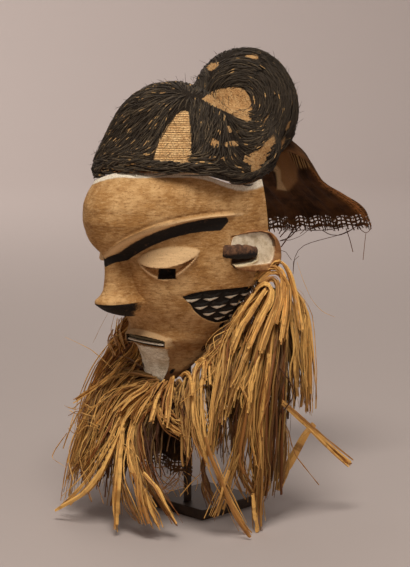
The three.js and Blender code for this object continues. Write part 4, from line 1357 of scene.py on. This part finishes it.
footZ = curve([[-1, 20], [-0.7, 1], [-0.1, 1], [0.15, 20], [0.4, 48], [0.7, 38], [1, 24]])
swellReach = curve([[-1, 150], [-0.6, 142], [-0.3, 140], [0, 126], [0.35, 130], [0.7, 156], [1, 184]])
swellZ = curve([[-1, 225], [-0.6, 200], [-0.3, 140], [0, 110], [0.35, 150], [0.7, 205], [1, 226]])


def beardPoint(side, v, inset):
    # side runs from -1 at the right ear to 1 at the left one, v from the tie to the foot
    b, along, turn = beardSettings, np.abs(side), side * math.radians(beardSettings["turn"])
    outward = stack(np.sin(turn), -np.cos(turn), 0 * turn)
    hub, rise = np.array(b["hub"]), np.array([0, 0, 1.0])
    tie = stack(np.sign(side) * tieX(along), tieY(along), tieZ(along))
    swell = hub + rise * swellZ(side)[..., None] + outward * swellReach(side)[..., None]
    foot = hub + rise * footZ(side)[..., None] + outward * footReach(side)[..., None]
    w, v = (1 - v)[..., None], v[..., None]
    bulge = np.exp(-((v - b["bulgeAt"]) / b["bulgeAt"]) ** 2) * smooth(1.0, 0.9, along)[..., None]
    over = outward * b["bulge"] + rise * b["lift"]
    return tie * w * w + swell * 2 * v * w + foot * v * v + over * bulge - outward * inset[..., None]


# bundles of strips as lines in the picture, then strips, spread in picture units, depth in mm, and tone
# their tones hold painted shade too: low on the deeper bundles
bundles = [
    ([(268, 290), (252, 303), (238, 322), (227, 344), (220, 370), (216, 395), (213, 420), (208, 448)],
      20, 2.6, 3, 0.62),
    ([(270, 288), (256, 303), (244, 322), (235, 345), (231, 370), (224, 395), (219, 420), (211, 453)],
      18, 2.6, 4, 0.42),
    ([(272, 288), (261, 305), (252, 325), (246, 345), (240, 365), (233, 388), (226, 412)], 16, 2.4, 2, 0.7),
    ([(274, 288), (265, 308), (258, 330), (254, 350), (249, 375), (244, 400), (240, 430), (235, 455),
      (234, 470), (243, 485), (250, 494)], 20, 3, 4, 0.55),
    ([(276, 288), (270, 308), (265, 330), (261, 352), (256, 378), (250, 400), (246, 420), (240, 445),
      (232, 470), (222, 492), (212, 516)], 16, 2.6, 4, 0.6),
    ([(278, 288), (275, 308), (270, 330), (267, 352), (262, 380), (258, 405), (256, 435), (257, 465),
      (256, 500), (257, 529)], 22, 3, 4, 0.55),
    ([(279, 288), (280, 310), (277, 335), (275, 360), (272, 390), (270, 420), (268, 450), (268, 478),
      (264, 496)], 18, 2.8, 6, 0.4),
    ([(281, 287), (285, 310), (285, 335), (281, 360), (280, 390), (278, 420), (276, 450), (275, 475),
      (273, 492)], 16, 2.6, 8, 0.4),
    ([(281, 285), (290, 298), (295, 318), (297, 350), (296, 380), (298, 405)], 10, 2, 4, 0.7),
    ([(281, 283), (292, 288), (301, 300), (304, 320), (305, 350), (305, 380), (306, 411)], 16, 1.5, 2, 0.85),
    ([(283, 282), (296, 289), (304, 303), (308, 322), (309, 355), (310, 385), (310, 412)], 14, 1.1, 1, 0.85),
    ([(259, 298), (247, 309), (237, 325), (229, 343), (224, 368), (222, 395), (219, 420)], 18, 2.2, 1, 0.75),
    ([(256, 290), (248, 301), (238, 316), (229, 332), (220, 345), (208, 357), (198, 365)], 14, 1.6, 2, 0.5),
    ([(258, 291), (251, 301), (243, 316), (238, 332), (236, 350)], 12, 2, 1, 0.6),
    ([(244, 306), (236, 318), (229, 332), (226, 348), (225, 368)], 12, 2, 1, 0.6),
    ([(230, 328), (222, 341), (214, 352), (211, 366), (212, 385)], 12, 2, 2, 0.5),
    ([(238, 322), (229, 338), (219, 350), (209, 360), (204, 372), (203, 392)], 12, 1.8, 3, 0.5),
    ([(207, 360), (199, 362), (195, 375), (194, 400), (196, 425), (201, 447), (206, 463)], 18, 2.2, 2, 0.7),
    ([(219, 350), (209, 358), (202, 370), (201, 390), (202, 415), (205, 440), (212, 464), (223, 487),
      (238, 515), (250, 538)], 8, 1.6, 1, 0.8),
    ([(196, 372), (189, 382), (187, 402), (187, 425), (187, 445), (189, 462)], 14, 1.9, 5, 0.4),
    ([(187, 376), (182, 388), (183, 408), (186, 428), (187, 442)], 10, 1.8, 6, 0.5),
    ([(237, 378), (243, 390), (250, 402), (252, 425), (254, 448), (257, 465), (261, 482)], 6, 1, 0, 0.85),
    ([(263, 425), (262, 445), (264, 465), (262, 485), (258, 499)], 9, 2.6, 3, 0.5),
    ([(280, 412), (285, 428), (286, 445), (284, 462), (281, 478), (278, 492)], 8, 1.6, 5, 0.4),
    ([(204, 452), (203, 468), (206, 486), (211, 500), (214, 508)], 8, 1.5, 6, 0.3),
    ([(252, 342), (243, 362), (236, 380), (232, 396)], 7, 1.2, -1, 0.9),
    ([(262, 350), (256, 372), (250, 392), (248, 412)], 7, 1.2, -1, 0.85),
    ([(268, 352), (266, 380), (262, 410), (260, 440)], 6, 1.3, 0, 0.7),
    ([(160, 380), (143, 381), (128, 388), (115, 396), (105, 408), (97, 425), (88, 445), (76, 470)],
      24, 3.2, 3, 0.65),
    ([(160, 384), (142, 387), (128, 397), (118, 410), (110, 425), (101, 445), (92, 462), (82, 476)],
      22, 3.2, 3, 0.75),
    ([(160, 389), (145, 392), (132, 402), (120, 418), (110, 440), (98, 462), (85, 484), (60, 508)],
      6, 1, -1, 0.8),
    ([(160, 396), (146, 399), (133, 408), (123, 424), (119, 445), (117, 475), (117, 505), (117, 529)],
      12, 1.5, 1, 0.85),
    ([(158, 400), (145, 406), (134, 419), (129, 438), (131, 460), (139, 485), (150, 508), (157, 525)],
      12, 1.8, 3, 0.65),
    ([(156, 405), (142, 414), (136, 430), (139, 452), (147, 477), (159, 500), (173, 521)], 11, 1.8, 4, 0.5),
    ([(106, 425), (109, 433), (119, 443), (130, 454), (137, 475), (141, 498), (144, 518)], 8, 1.6, 2, 0.6),
    ([(125, 436), (121, 460), (122, 480), (130, 503), (141, 520)], 9, 2, 5, 0.4),
    ([(158, 377), (140, 374), (122, 372), (109, 380), (99, 391), (95, 408), (95, 428), (90, 450)],
      14, 2, 5, 0.4),
    ([(150, 372), (135, 378), (120, 386), (112, 396), (108, 412), (106, 430), (107, 450), (105, 470),
      (103, 488)], 12, 2.6, 7, 0.25),
    ([(140, 385), (124, 391), (113, 400), (104, 418), (99, 436)], 12, 3, 0, 0.75),
    ([(150, 392), (134, 398), (124, 412), (117, 430)], 10, 2.4, 0, 0.75),
    ([(146, 368), (133, 362), (122, 362), (113, 371), (104, 386)], 12, 2.6, 8, 0.3),
    ([(157, 397), (158, 411), (165, 424), (176, 431), (185, 437)], 7, 1.2, 1, 0.75),
    ([(163, 398), (167, 412), (174, 422), (184, 427)], 6, 1.2, 3, 0.5),
    ([(164, 380), (162, 390), (159, 400), (160, 411)], 8, 1.6, 4, 0.4),
    ([(171, 380), (171, 392), (176, 403)], 8, 1.6, 4, 0.45),
    ([(178, 379), (181, 392), (180, 404), (176, 413)], 9, 1.6, 4, 0.4),
    ([(168, 381), (167, 395), (170, 408), (173, 420)], 7, 1.5, 8, 0.2),
    ([(176, 380), (175, 395), (183, 410), (184, 424)], 7, 1.5, 8, 0.2),
]
# dark strips laid behind the others, as painted shade in the gaps between them
darkBundles = [  # the same for those that darken the gaps behind
    ([(206, 362), (205, 385), (204, 410), (206, 444)], 7, 6, 15, 0.15),
    ([(218, 352), (218, 380), (217, 410), (214, 448)], 7, 6, 15, 0.1),
    ([(232, 335), (231, 365), (229, 400), (226, 435), (228, 462)], 8, 6, 15, 0.15),
    ([(246, 322), (245, 360), (243, 400), (240, 440), (243, 472)], 8, 6, 15, 0.1),
    ([(262, 320), (260, 360), (258, 400), (254, 440), (252, 474)], 8, 6, 15, 0.15),
    ([(275, 320), (274, 360), (272, 400), (270, 440)], 7, 5, 14, 0.15),
    ([(180, 378), (188, 390), (192, 410), (192, 440)], 8, 5, 11, 0.15),
    ([(170, 380), (178, 388), (184, 402), (190, 425)], 8, 5, 11, 0.15),
    ([(150, 398), (143, 425), (148, 458), (158, 490)], 6, 6, 12, 0.2),
    ([(160, 400), (152, 425), (150, 448), (156, 475)], 5, 4, 11, 0.3),
    ([(128, 405), (122, 430), (118, 455), (112, 480)], 8, 6, 13, 0.15),
    ([(112, 410), (105, 432), (98, 455), (90, 478)], 8, 6, 13, 0.15),
]
placedStrips = [  # picture x, y and mm towards the camera, then strips, spread and half width in mm
    ([(205, 438, 151), (213, 463, 149), (220, 477, 146), (233, 512, 136), (250, 538, 130)], 2, 1.2, 2.2),
    ([(253, 494, 116), (255, 515, 110), (258, 531, 104)], 2, 0.8, 2.8),
    ([(228, 470, 143), (220, 495, 141), (212, 517, 138)], 1, 1, 2.0),
    ([(283, 402, 119), (305, 422, 88), (335, 450, 52), (350, 463, 38)], 12, 2.6, 1.9),
    ([(314, 424, 56), (306, 433, 60), (294, 455, 64), (278, 490, 66)], 1, 0, 6.0),
    ([(287, 428, 110), (295, 455, 80), (319, 485, 60)], 1, 0, 0.9),
    ([(67, 433, 30), (56, 448, 26), (51, 458, 26), (67, 468, 56)], 1, 0, 0.6),
    ([(125, 422, 97), (102, 472, 101), (87, 492, 88), (58, 508, 60)], 2, 1.2, 2.3),
    ([(123, 430, 101), (117, 488, 118), (117, 530, 119)], 4, 2.5, 2.2),
    ([(132, 472, 127), (138, 495, 134), (145, 522, 135)], 3, 2.5, 1.8),
    ([(145, 488, 137), (150, 505, 139), (160, 527, 138)], 2, 2, 1.8),
    ([(143, 472, 135), (158, 488, 143), (165, 503, 144), (177, 523, 142)], 2, 1.5, 1.6),
    ([(120, 363, 50), (112, 375, 53), (95, 388, 46), (73, 402, 30)], 3, 1.8, 2.3),
    ([(112, 368, 45), (92, 350, 20), (80, 344, 10), (65, 337, 0)], 1, 0, 0.8),
    ([(108, 313, -18), (100, 328, -12), (93, 343, -9)], 1, 0, 0.45),
    ([(116, 318, -18), (113, 335, 6), (118, 352, 30)], 4, 3, 1.3),
    ([(122, 318, -6), (119, 333, 13), (124, 350, 33)], 4, 2.5, 1.3),
    ([(112, 330, -10), (107, 345, 11), (112, 358, 31)], 3, 3, 1.0),
    ([(100, 404, 70), (90, 410, 64), (84, 402, 43), (76, 412, 29), (68, 408, 15)], 3, 4, 0.55),
    ([(96, 430, 83), (84, 424, 66), (74, 434, 55), (68, 426, 20)], 3, 5, 0.55),
    ([(92, 418, 72), (80, 414, 48), (72, 420, 18)], 3, 4, 0.6),
    ([(297, 262, 100), (303, 280, 92), (311, 299, 80), (322, 312, 70), (335, 317, 62)], 1, 0, 0.3),
    ([(285, 277, 105), (293, 277, 104), (295, 285, 104), (290, 288, 105)], 1, 0, 0.7),
    ([(290, 284, 105), (302, 292, 103), (306, 300, 102), (300, 308, 103), (308, 316, 98)], 1, 0, 0.45),
    ([(258, 278, 112), (266, 268, 113), (277, 266, 113), (284, 276, 112), (283, 296, 116),
      (276, 322, 127)], 9, 2, 1.4),
    ([(260, 282, 113), (268, 272, 113), (280, 272, 113), (288, 286, 111), (287, 310, 119),
      (282, 340, 129)], 10, 2, 1.5),
    ([(262, 286, 114), (270, 277, 115), (279, 280, 114), (280, 298, 119), (270, 325, 130),
      (262, 350, 138)], 10, 2, 1.6),
    ([(256, 290, 114), (262, 281, 116), (272, 284, 117), (270, 300, 122), (258, 322, 129),
      (248, 345, 137)], 10, 2, 1.6),
    ([(264, 280, 111), (272, 263, 112), (281, 259, 112), (290, 274, 110), (296, 300, 108),
      (300, 330, 112)], 9, 1.8, 1.2),
    ([(268, 288, 115), (262, 296, 121), (252, 312, 124), (240, 330, 127), (232, 352, 135)], 10, 2, 1.6),
    ([(181, 376, 101), (186, 371, 106), (191, 376, 116), (193, 395, 135)], 7, 1.8, 1.4),
    ([(196, 368, 107), (199, 361, 112), (206, 360, 118), (205, 380, 136)], 8, 1.6, 1.5),
    ([(150, 381, 80), (145, 388, 85), (134, 397, 88), (118, 412, 89)], 9, 2.4, 1.6),
    ([(158, 383, 89), (151, 391, 94), (141, 402, 98), (132, 420, 104)], 9, 2.4, 1.6),
    ([(166, 382, 97), (160, 390, 104), (154, 402, 110), (150, 420, 121)], 10, 2.4, 1.6),
    ([(173, 377, 98), (171, 386, 110), (168, 400, 123), (166, 420, 135)], 10, 2.4, 1.6),
    ([(240, 316, 118), (214, 333, 120), (204, 346, 122), (209, 356, 124), (216, 370, 132)], 1, 0, 0.5),
    ([(236, 326, 116), (213, 337, 119), (215, 349, 122)], 1, 0, 0.5),
    ([(258, 313, 128), (276, 318, 130), (288, 330, 126), (287, 345, 126)], 1, 0, 0.5),
    ([(180, 403, 138), (200, 388, 142), (218, 366, 138)], 1, 0, 0.8),
    ([(148, 466, 60), (160, 468, 66), (172, 467, 70), (182, 470, 72)], 2, 2, 0.4),
    ([(125, 462, 70), (135, 474, 74), (143, 486, 76), (150, 480, 76)], 3, 3, 0.4),
    ([(150, 470, 50), (158, 482, 56), (170, 488, 60), (180, 480, 66), (186, 488, 66)], 4, 4, 0.45),
    ([(156, 496, 60), (166, 484, 66), (174, 474, 70), (184, 466, 72)], 3, 3, 0.4),
    ([(160, 466, 50), (164, 478, 50), (174, 484, 50), (176, 494, 52)], 4, 5, 0.45),
    ([(172, 464, 52), (178, 474, 52), (186, 482, 52), (182, 494, 52)], 4, 5, 0.45),
    ([(190, 456, 60), (183, 468, 60), (176, 482, 60), (168, 492, 60)], 3, 4, 0.45),
    ([(180, 496, 104), (190, 484, 110), (200, 474, 116), (208, 468, 120)], 1, 0, 0.7),
]


lashing = {"lengths": 14, "ends": (-1, 0.82), "long": 0.18, "up": 4, "radius": 2.4, "half": 2.2, "twist": 9,
           "phases": (0.0, 2.1, 4.2)}


def placeStrips(rng):
    # the strips that can be told apart in the picture, kept off the floor
    points = beardSettings["points"]
    t = np.linspace(0, 1, points)[None, :, None]
    paths, widths = [], []
    for line, count, spread, half in placedStrips:
        track = rounded(line, points)
        for _ in range(3):
            track[:, 2] += np.maximum(2 - inPicture(track)[:, 2], 0) / 0.3
        away = rng.normal(0, 1, (2, count, 1, 3)) * spread
        wave = np.sin(t * rng.uniform(3, 8, (count, 1, 1)) + rng.uniform(0, 6.28, (count, 1, 1)))
        paths.append(inPicture(track)[None] + away[0] * mix(0.5, 1.2, t) + away[1] * wave * 0.35)
        widths.append(half * rng.uniform(0.6, 1.15, count))
    for start in np.linspace(*lashing["ends"], lashing["lengths"]):  # three twisted strands along the rim
        side = start + np.linspace(0, lashing["long"], points)
        along = np.clip(np.abs(side), 0, 1)
        rim = stack(np.sign(side) * tieX(along), tieY(along), tieZ(along) + lashing["up"])
        turn = np.linspace(0, lashing["twist"], points) + np.array(lashing["phases"])[:, None]
        paths.append(rim + lashing["radius"] * stack(0 * turn, np.cos(turn), np.sin(turn)))
        widths.append(np.full(len(turn), lashing["half"]))
    return np.concatenate(paths), np.concatenate(widths)


def beardNear(track):
    # how near the camera the beard's outer skin is at places in the picture
    side, v = np.meshgrid(np.linspace(-0.8, 1, 120), np.linspace(0, 1.04, 90))
    skinPoints = beardPoint(side.ravel(), v.ravel(), 0 * v.ravel())
    px, py = toPicture(skinPoints)
    nearness = skinPoints @ pictureBack
    near = []
    for x, y in track[:, :2]:
        gap = np.hypot(px - x, py - y)
        near.append(np.max(nearness[gap < max(3, gap.min() + 1)]))
    near = np.array(near)
    for _ in range(12):
        near[1:-1] = (near[:-2] + near[1:-1] + near[2:]) / 3
    return near


def stretches(rng, member, reach, mean, least, slow):
    # how far each strip has come along its line at each of its points
    begin = rng.uniform(0, 0.05, len(member))[:, None]
    end = np.clip(rng.normal(mean, 0.07, len(member)) + reach[member], least, 1.0)[:, None]
    t = np.linspace(0, 1, beardSettings["points"])[None] ** slow
    return t, (begin + (end - begin) * t) * (beardSettings["samples"] - 1)


bundleSettings = {"times": 2, "perRank": 6, "apart": 1.5, "end": 0.94, "least": 0.6, "slow": 1.15,
                  "sways": (0.8, 0.9, 1.3, 3.0), "fan": (0.55, 1.0), "gather": 0.9, "wander": 0.34, "deep": 9}


def layBundle(rng, line, count, spread, sink, tone):
    # ribbons in a few close ranks, each its own wave, the deeper ones darker
    s, samples = bundleSettings, beardSettings["samples"]
    track = rounded(line, samples)
    near = beardNear(track)
    count = count * s["times"]
    ranks = max(2, count // s["perRank"])
    shift = rng.uniform(-s["apart"], s["apart"], ranks)
    dip, reach = rng.random(ranks), rng.normal(0, 0.04, ranks)
    member = rng.integers(0, ranks, count)
    t, share = stretches(rng, member, reach, s["end"], s["least"], s["slow"])
    x, y, depth = (np.interp(share, np.arange(samples), row) for row in (track[:, 0], track[:, 1], near))
    ahead = np.stack([np.gradient(x, axis=1), np.gradient(y, axis=1)], -1)
    ahead = ahead / np.linalg.norm(ahead, axis=-1, keepdims=True)
    phase, sway = rng.uniform(0, 6.28, (3, count, 1)), rng.normal(0, 1, (3, count, 1))
    sway = sway * rng.choice(s["sways"], (count, 1))
    wander = sway[0] * np.sin(t * 4 + phase[0]) + 0.7 * sway[1] * np.sin(t * 11 + phase[1])
    fan = mix(*s["fan"], smooth(0, 0.4, t) * (1 - s["gather"] * smooth(0.6, 1, t)))
    off = (shift[member] + rng.normal(0, 0.3, count))[:, None] * spread * fan
    off = off + wander * spread * s["wander"] * smooth(0, 0.3, t)
    x, y = x - ahead[..., 1] * off, y + ahead[..., 0] * off
    down = sink + (0.6 * dip[member] + 0.4 * rng.random(count))[:, None] * s["deep"]
    down = down + 2 * sway[2] * np.sin(t * 5 + phase[2])
    paths = inPicture(np.stack([x.ravel(), y.ravel(), (depth - down).ravel()], -1)).reshape(*x.shape, 3)
    shade = np.clip((sink + 6 * dip[member] - 3.5) / 11, 0, 1)
    return paths, shade, np.full(count, tone) + rng.normal(0, 0.16, ranks)[member]


lockSettings = {"perLock": 6, "end": 0.92, "least": 0.55, "slow": 1.25, "arm": 170, "fan": (0.4, 1.1),
                "wander": 0.016, "sides": (-1.03, 1.03), "lengths": (0, 1.05), "insets": (-3, 26)}


def lockStrips(rng, line, count, spread, depth, near=0.0):
    # strips gathered in a few locks, so that dark gaps are left between them
    s, samples = lockSettings, beardSettings["samples"]
    track = rounded(line, samples)
    locks = max(2, count // s["perLock"])
    shift, reach, dip = rng.normal(0, 1, locks), rng.normal(0, 0.05, locks), rng.random(locks)
    member = rng.integers(0, locks, count)
    t, share = stretches(rng, member, reach, s["end"], s["least"], s["slow"])
    side, v = (np.interp(share, np.arange(samples), row) for row in track.T)
    off = (shift[member] + rng.normal(0, 0.35, count))[:, None] * spread / s["arm"]
    phase, sway = rng.uniform(0, 6.28, (3, count, 1)), rng.normal(0, 1, (3, count, 1))
    common = rng.normal(0, 1, locks)[member][:, None] * np.sin(t * 4.5 + 6.28 * dip[member][:, None])
    wander = sway[0] * np.sin(t * 3.2 + phase[0]) + 0.7 * sway[1] * np.sin(t * 8 + phase[1]) + common
    side = side + off * mix(*s["fan"], smooth(0, 0.5, t)) + wander * t * s["wander"]
    inset = near + (0.55 * dip[member] + 0.45 * rng.random(count))[:, None] * depth
    inset = inset + 3 * sway[2] * t * np.sin(t * 4 + phase[2])
    paths = beardPoint(np.clip(side, *s["sides"]), np.clip(v, *s["lengths"]), np.clip(inset, *s["insets"]))
    # the second value is painted shade, darker for strips lying deeper
    return paths, np.clip((near + depth * dip[member] * 0.6 - 3) / 15, 0, 1)


def gatherStrips(rng):
    b = beardSettings
    laid = [layBundle(rng, *bundle) for bundle in bundles + darkBundles]
    groups = [strips[:2] for strips in laid]
    for side in np.linspace(*b["farEnds"], b["far"]):  # the side away from the picture
        line = [(side, 0.02), (side + rng.normal(0, 0.03), 0.35), (side + rng.normal(0, 0.05), 0.7),
                (side + rng.normal(0, 0.07), rng.uniform(0.85, 1.0))]
        groups.append(lockStrips(rng, line, 10, 9, 12))
    for side in np.linspace(-1, 1, b["under"]):  # the dark layer underneath
        if all(abs(side - middle) > half for middle, half in b["gaps"]):
            foot = side + rng.normal(0, 0.05)
            reach = rng.uniform(0.55, 0.7) if side > 0.85 else rng.uniform(0.6, 0.9)
            line = [(side, 0.01), (foot, 0.4), (foot + rng.normal(0, 0.04), reach)]
            groups.append(lockStrips(rng, line, 10 if side > -0.3 else 7, 7, 7, b["underDeep"]))
    paths, deep = (np.concatenate([group[i] for group in groups]) for i in (0, 1))
    return paths, deep, np.concatenate([strips[2] for strips in laid])


def crinkle(rng, paths):
    # a few sudden bends in every strip, which tell more towards its end
    b, (count, points) = beardSettings, paths.shape[:2]
    bends = rng.normal(0, b["bend"], paths.shape) * (rng.random((count, points, 1)) < b["bent"])
    bends = bends * rng.choice([0.3, 0.7, 1.3], (count, 1, 1))
    later = (np.linspace(0, 1, points)[None] ** 0.5)[..., None]
    bends = np.clip(np.cumsum(np.cumsum(bends, 1), 1) * later, -b["mostBend"], b["mostBend"])
    return paths + bends + rng.normal(0, 0.3, paths.shape)


def stripWidths(rng, count):
    kind, broad = rng.random(count), rng.uniform(0.9, 1.7, count)
    thin, middling = rng.uniform(0.3, 0.7, count), rng.uniform(0.6, 1.0, count)
    return np.where(kind < 0.3, thin, np.where(kind < 0.75, middling, broad))


def stripTilts(rng, paths, widths, inSight):
    # flat sides face outwards and a little to the picture, and turn on the way down
    b = beardSettings
    outward = unit(paths * np.array([1, 1, 0.25]) - np.array(b["middle"]))
    outward = unit(outward + b["lean"] * inSight[:, None, None] * pictureBack)
    narrow = widths.max(1, keepdims=True) < b["broad"]
    tilts = tiltTo(paths, outward) + rng.normal(0, 0.6, (len(paths), 1)) * narrow
    tilts = np.where(narrow, tilts, tiltTo(paths, pictureBack + 0 * paths))
    return tilts + np.cumsum(rng.normal(0, b["turning"], paths.shape[:2]), 1)


def growBeard():
    b, rng = beardSettings, np.random.default_rng(beardSettings["seed"])
    paths, deep, tones = gatherStrips(rng)
    paths = crinkle(rng, paths)
    grown = len(paths)
    widths = stripWidths(rng, grown)
    placed, placedWidths = placeStrips(rng)
    paths, widths = np.concatenate([paths, placed]), np.concatenate([widths, placedWidths])
    # deep holds each strip's painted shade
    deep = np.concatenate([deep + rng.uniform(-0.05, 0.15, grown), np.zeros(len(placed))])
    count, t = len(paths), np.linspace(0, 1, b["points"])[None]
    paths[..., 2] = np.maximum(paths[..., 2], b["clear"])
    pinch = 1 - 0.5 * np.exp(-((t - rng.random((count, 1))) / 0.07) ** 2)
    widths = widths[:, None] * pinch * (0.8 + 0.3 * np.sin(math.pi * t))
    inSight = np.ones(count)
    inSight[len(tones):grown] = 0  # the far side and the layer underneath
    tilts = stripTilts(rng, paths, widths, inSight)
    tone = np.concatenate([tones, rng.normal(b["straw"], 0.12, count - len(tones))])
    tone = tone + rng.normal(0, 0.25, count)
    tone[grown:] = np.maximum(tone[grown:], 0.35)
    return paths, widths, tilts, np.clip(tone, 0, 1), np.clip(deep, 0, 0.85)


paths, widths, tilts, tone, deep = growBeard()
pieces = beardSettings["pieces"]
for part in range(pieces):
    some = slice(part * len(paths) // pieces, (part + 1) * len(paths) // pieces)
    mesh = strandMesh(f"beard_strips_{part + 1}", paths[some], widths[some], tilts[some], "leaf",
                      tone=tone[some], deep=deep[some])
    piece(mesh, raffia, "raffia_beard", 40)
print("beard strips", len(paths))

# the stand


def darkSteel():
    m = Finish("dark_steel")
    where = m.place()
    cloud = m.noise(where, 60, 4, 0.6)
    scratch = m.noise(m.place((1, 0.05, 1), (0, 0, 0.5)), 900, 2, 0.5)
    base = m.blend(m.step(cloud, 0.4, 0.7), (58, 44, 34), (78, 60, 46))
    base = m.blend(m.step(scratch, 0.68, 0.75) * 0.3, base, (128, 106, 84))
    return m.done(Base_Color=base, Roughness=0.42 + cloud * 0.2, Metallic=0.35,
                  Normal=m.bump(cloud + scratch * 0.3, 0.1))


steel = darkSteel()
for name in ("base_plate", "stand_rod"):
    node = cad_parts[name]
    node.data.materials.clear()
    node.data.materials.append(steel)
print("stand")

# floor, backdrop and light

studio = {"radius": 5.2, "curve": 1.4, "height": 3.4, "bends": 8, "turns": 72, "paper": (181, 168, 162),
          "ambient": 0.3, "sky": (1.0, 0.965, 0.935, 1)}
lamps = {  # place, what it points at, width, power and colour
    "key": ((0.85, -0.95, 2.45), (0, -0.05, 0.25), 1.1, 50, (1, 0.965, 0.91)),
    "fill": ((2.2, 0.1, 1.1), (0, 0, 0.3), 1.6, 3, (1, 0.96, 0.92)),
    "behind": ((-1.9, 1.7, 3.0), (-1.6, 1.2, 0), 1.6, 15, (1, 0.96, 0.92)),
    "wash": ((-3.1, 1.0, 2.9), (-4.3, 2.6, 0.8), 2.0, 76, (1, 0.975, 0.96)),
}


def backdrop(s):
    bm = bmesh.new()
    flat = s["radius"] - s["curve"]
    outline = [(0, 0), (flat, 0)]
    for turn in np.linspace(0, math.pi / 2, s["bends"] + 1)[1:]:
        outline.append((flat + s["curve"] * math.sin(turn), s["curve"] * (1 - math.cos(turn))))
    outline.append((s["radius"], s["height"]))
    points = [bm.verts.new((x, 0, z)) for x, z in outline]
    edges = [bm.edges.new(pair) for pair in zip(points, points[1:])]
    bmesh.ops.spin(bm, geom=points + edges, cent=(0, 0, 0), axis=(0, 0, 1), angle=2 * math.pi,
                   steps=s["turns"], use_merge=True)
    bmesh.ops.remove_doubles(bm, verts=bm.verts, dist=1e-5)
    bmesh.ops.recalc_face_normals(bm, faces=bm.faces)
    mesh = bpy.data.meshes.new("studio")
    bm.to_mesh(mesh)
    bm.free()
    mesh.shade_smooth()
    obj = bpy.data.objects.new("studio", mesh)
    scene.collection.objects.link(obj)
    m = Finish("studio_paper")
    mesh.materials.append(m.done(Base_Color=s["paper"], Roughness=0.95, Specular_IOR_Level=0.1))


def areaLight(name, place, target, size, power, color):
    data = bpy.data.lights.new(name, "AREA")
    data.shape, data.size, data.energy, data.color = "DISK", size, power, color
    obj = bpy.data.objects.new(name, data)
    obj.location = place
    obj.rotation_euler = (Vector(target) - Vector(place)).to_track_quat("-Z", "Y").to_euler()
    scene.collection.objects.link(obj)


backdrop(studio)
for name, lamp in lamps.items():
    areaLight(name, *lamp)
world = bpy.data.worlds.new("ambient")
world.use_nodes = True
world.node_tree.nodes["Background"].inputs[0].default_value = studio["sky"]
world.node_tree.nodes["Background"].inputs[1].default_value = studio["ambient"]
scene.world = world
scene.view_settings.view_transform = "Standard"

print("done")
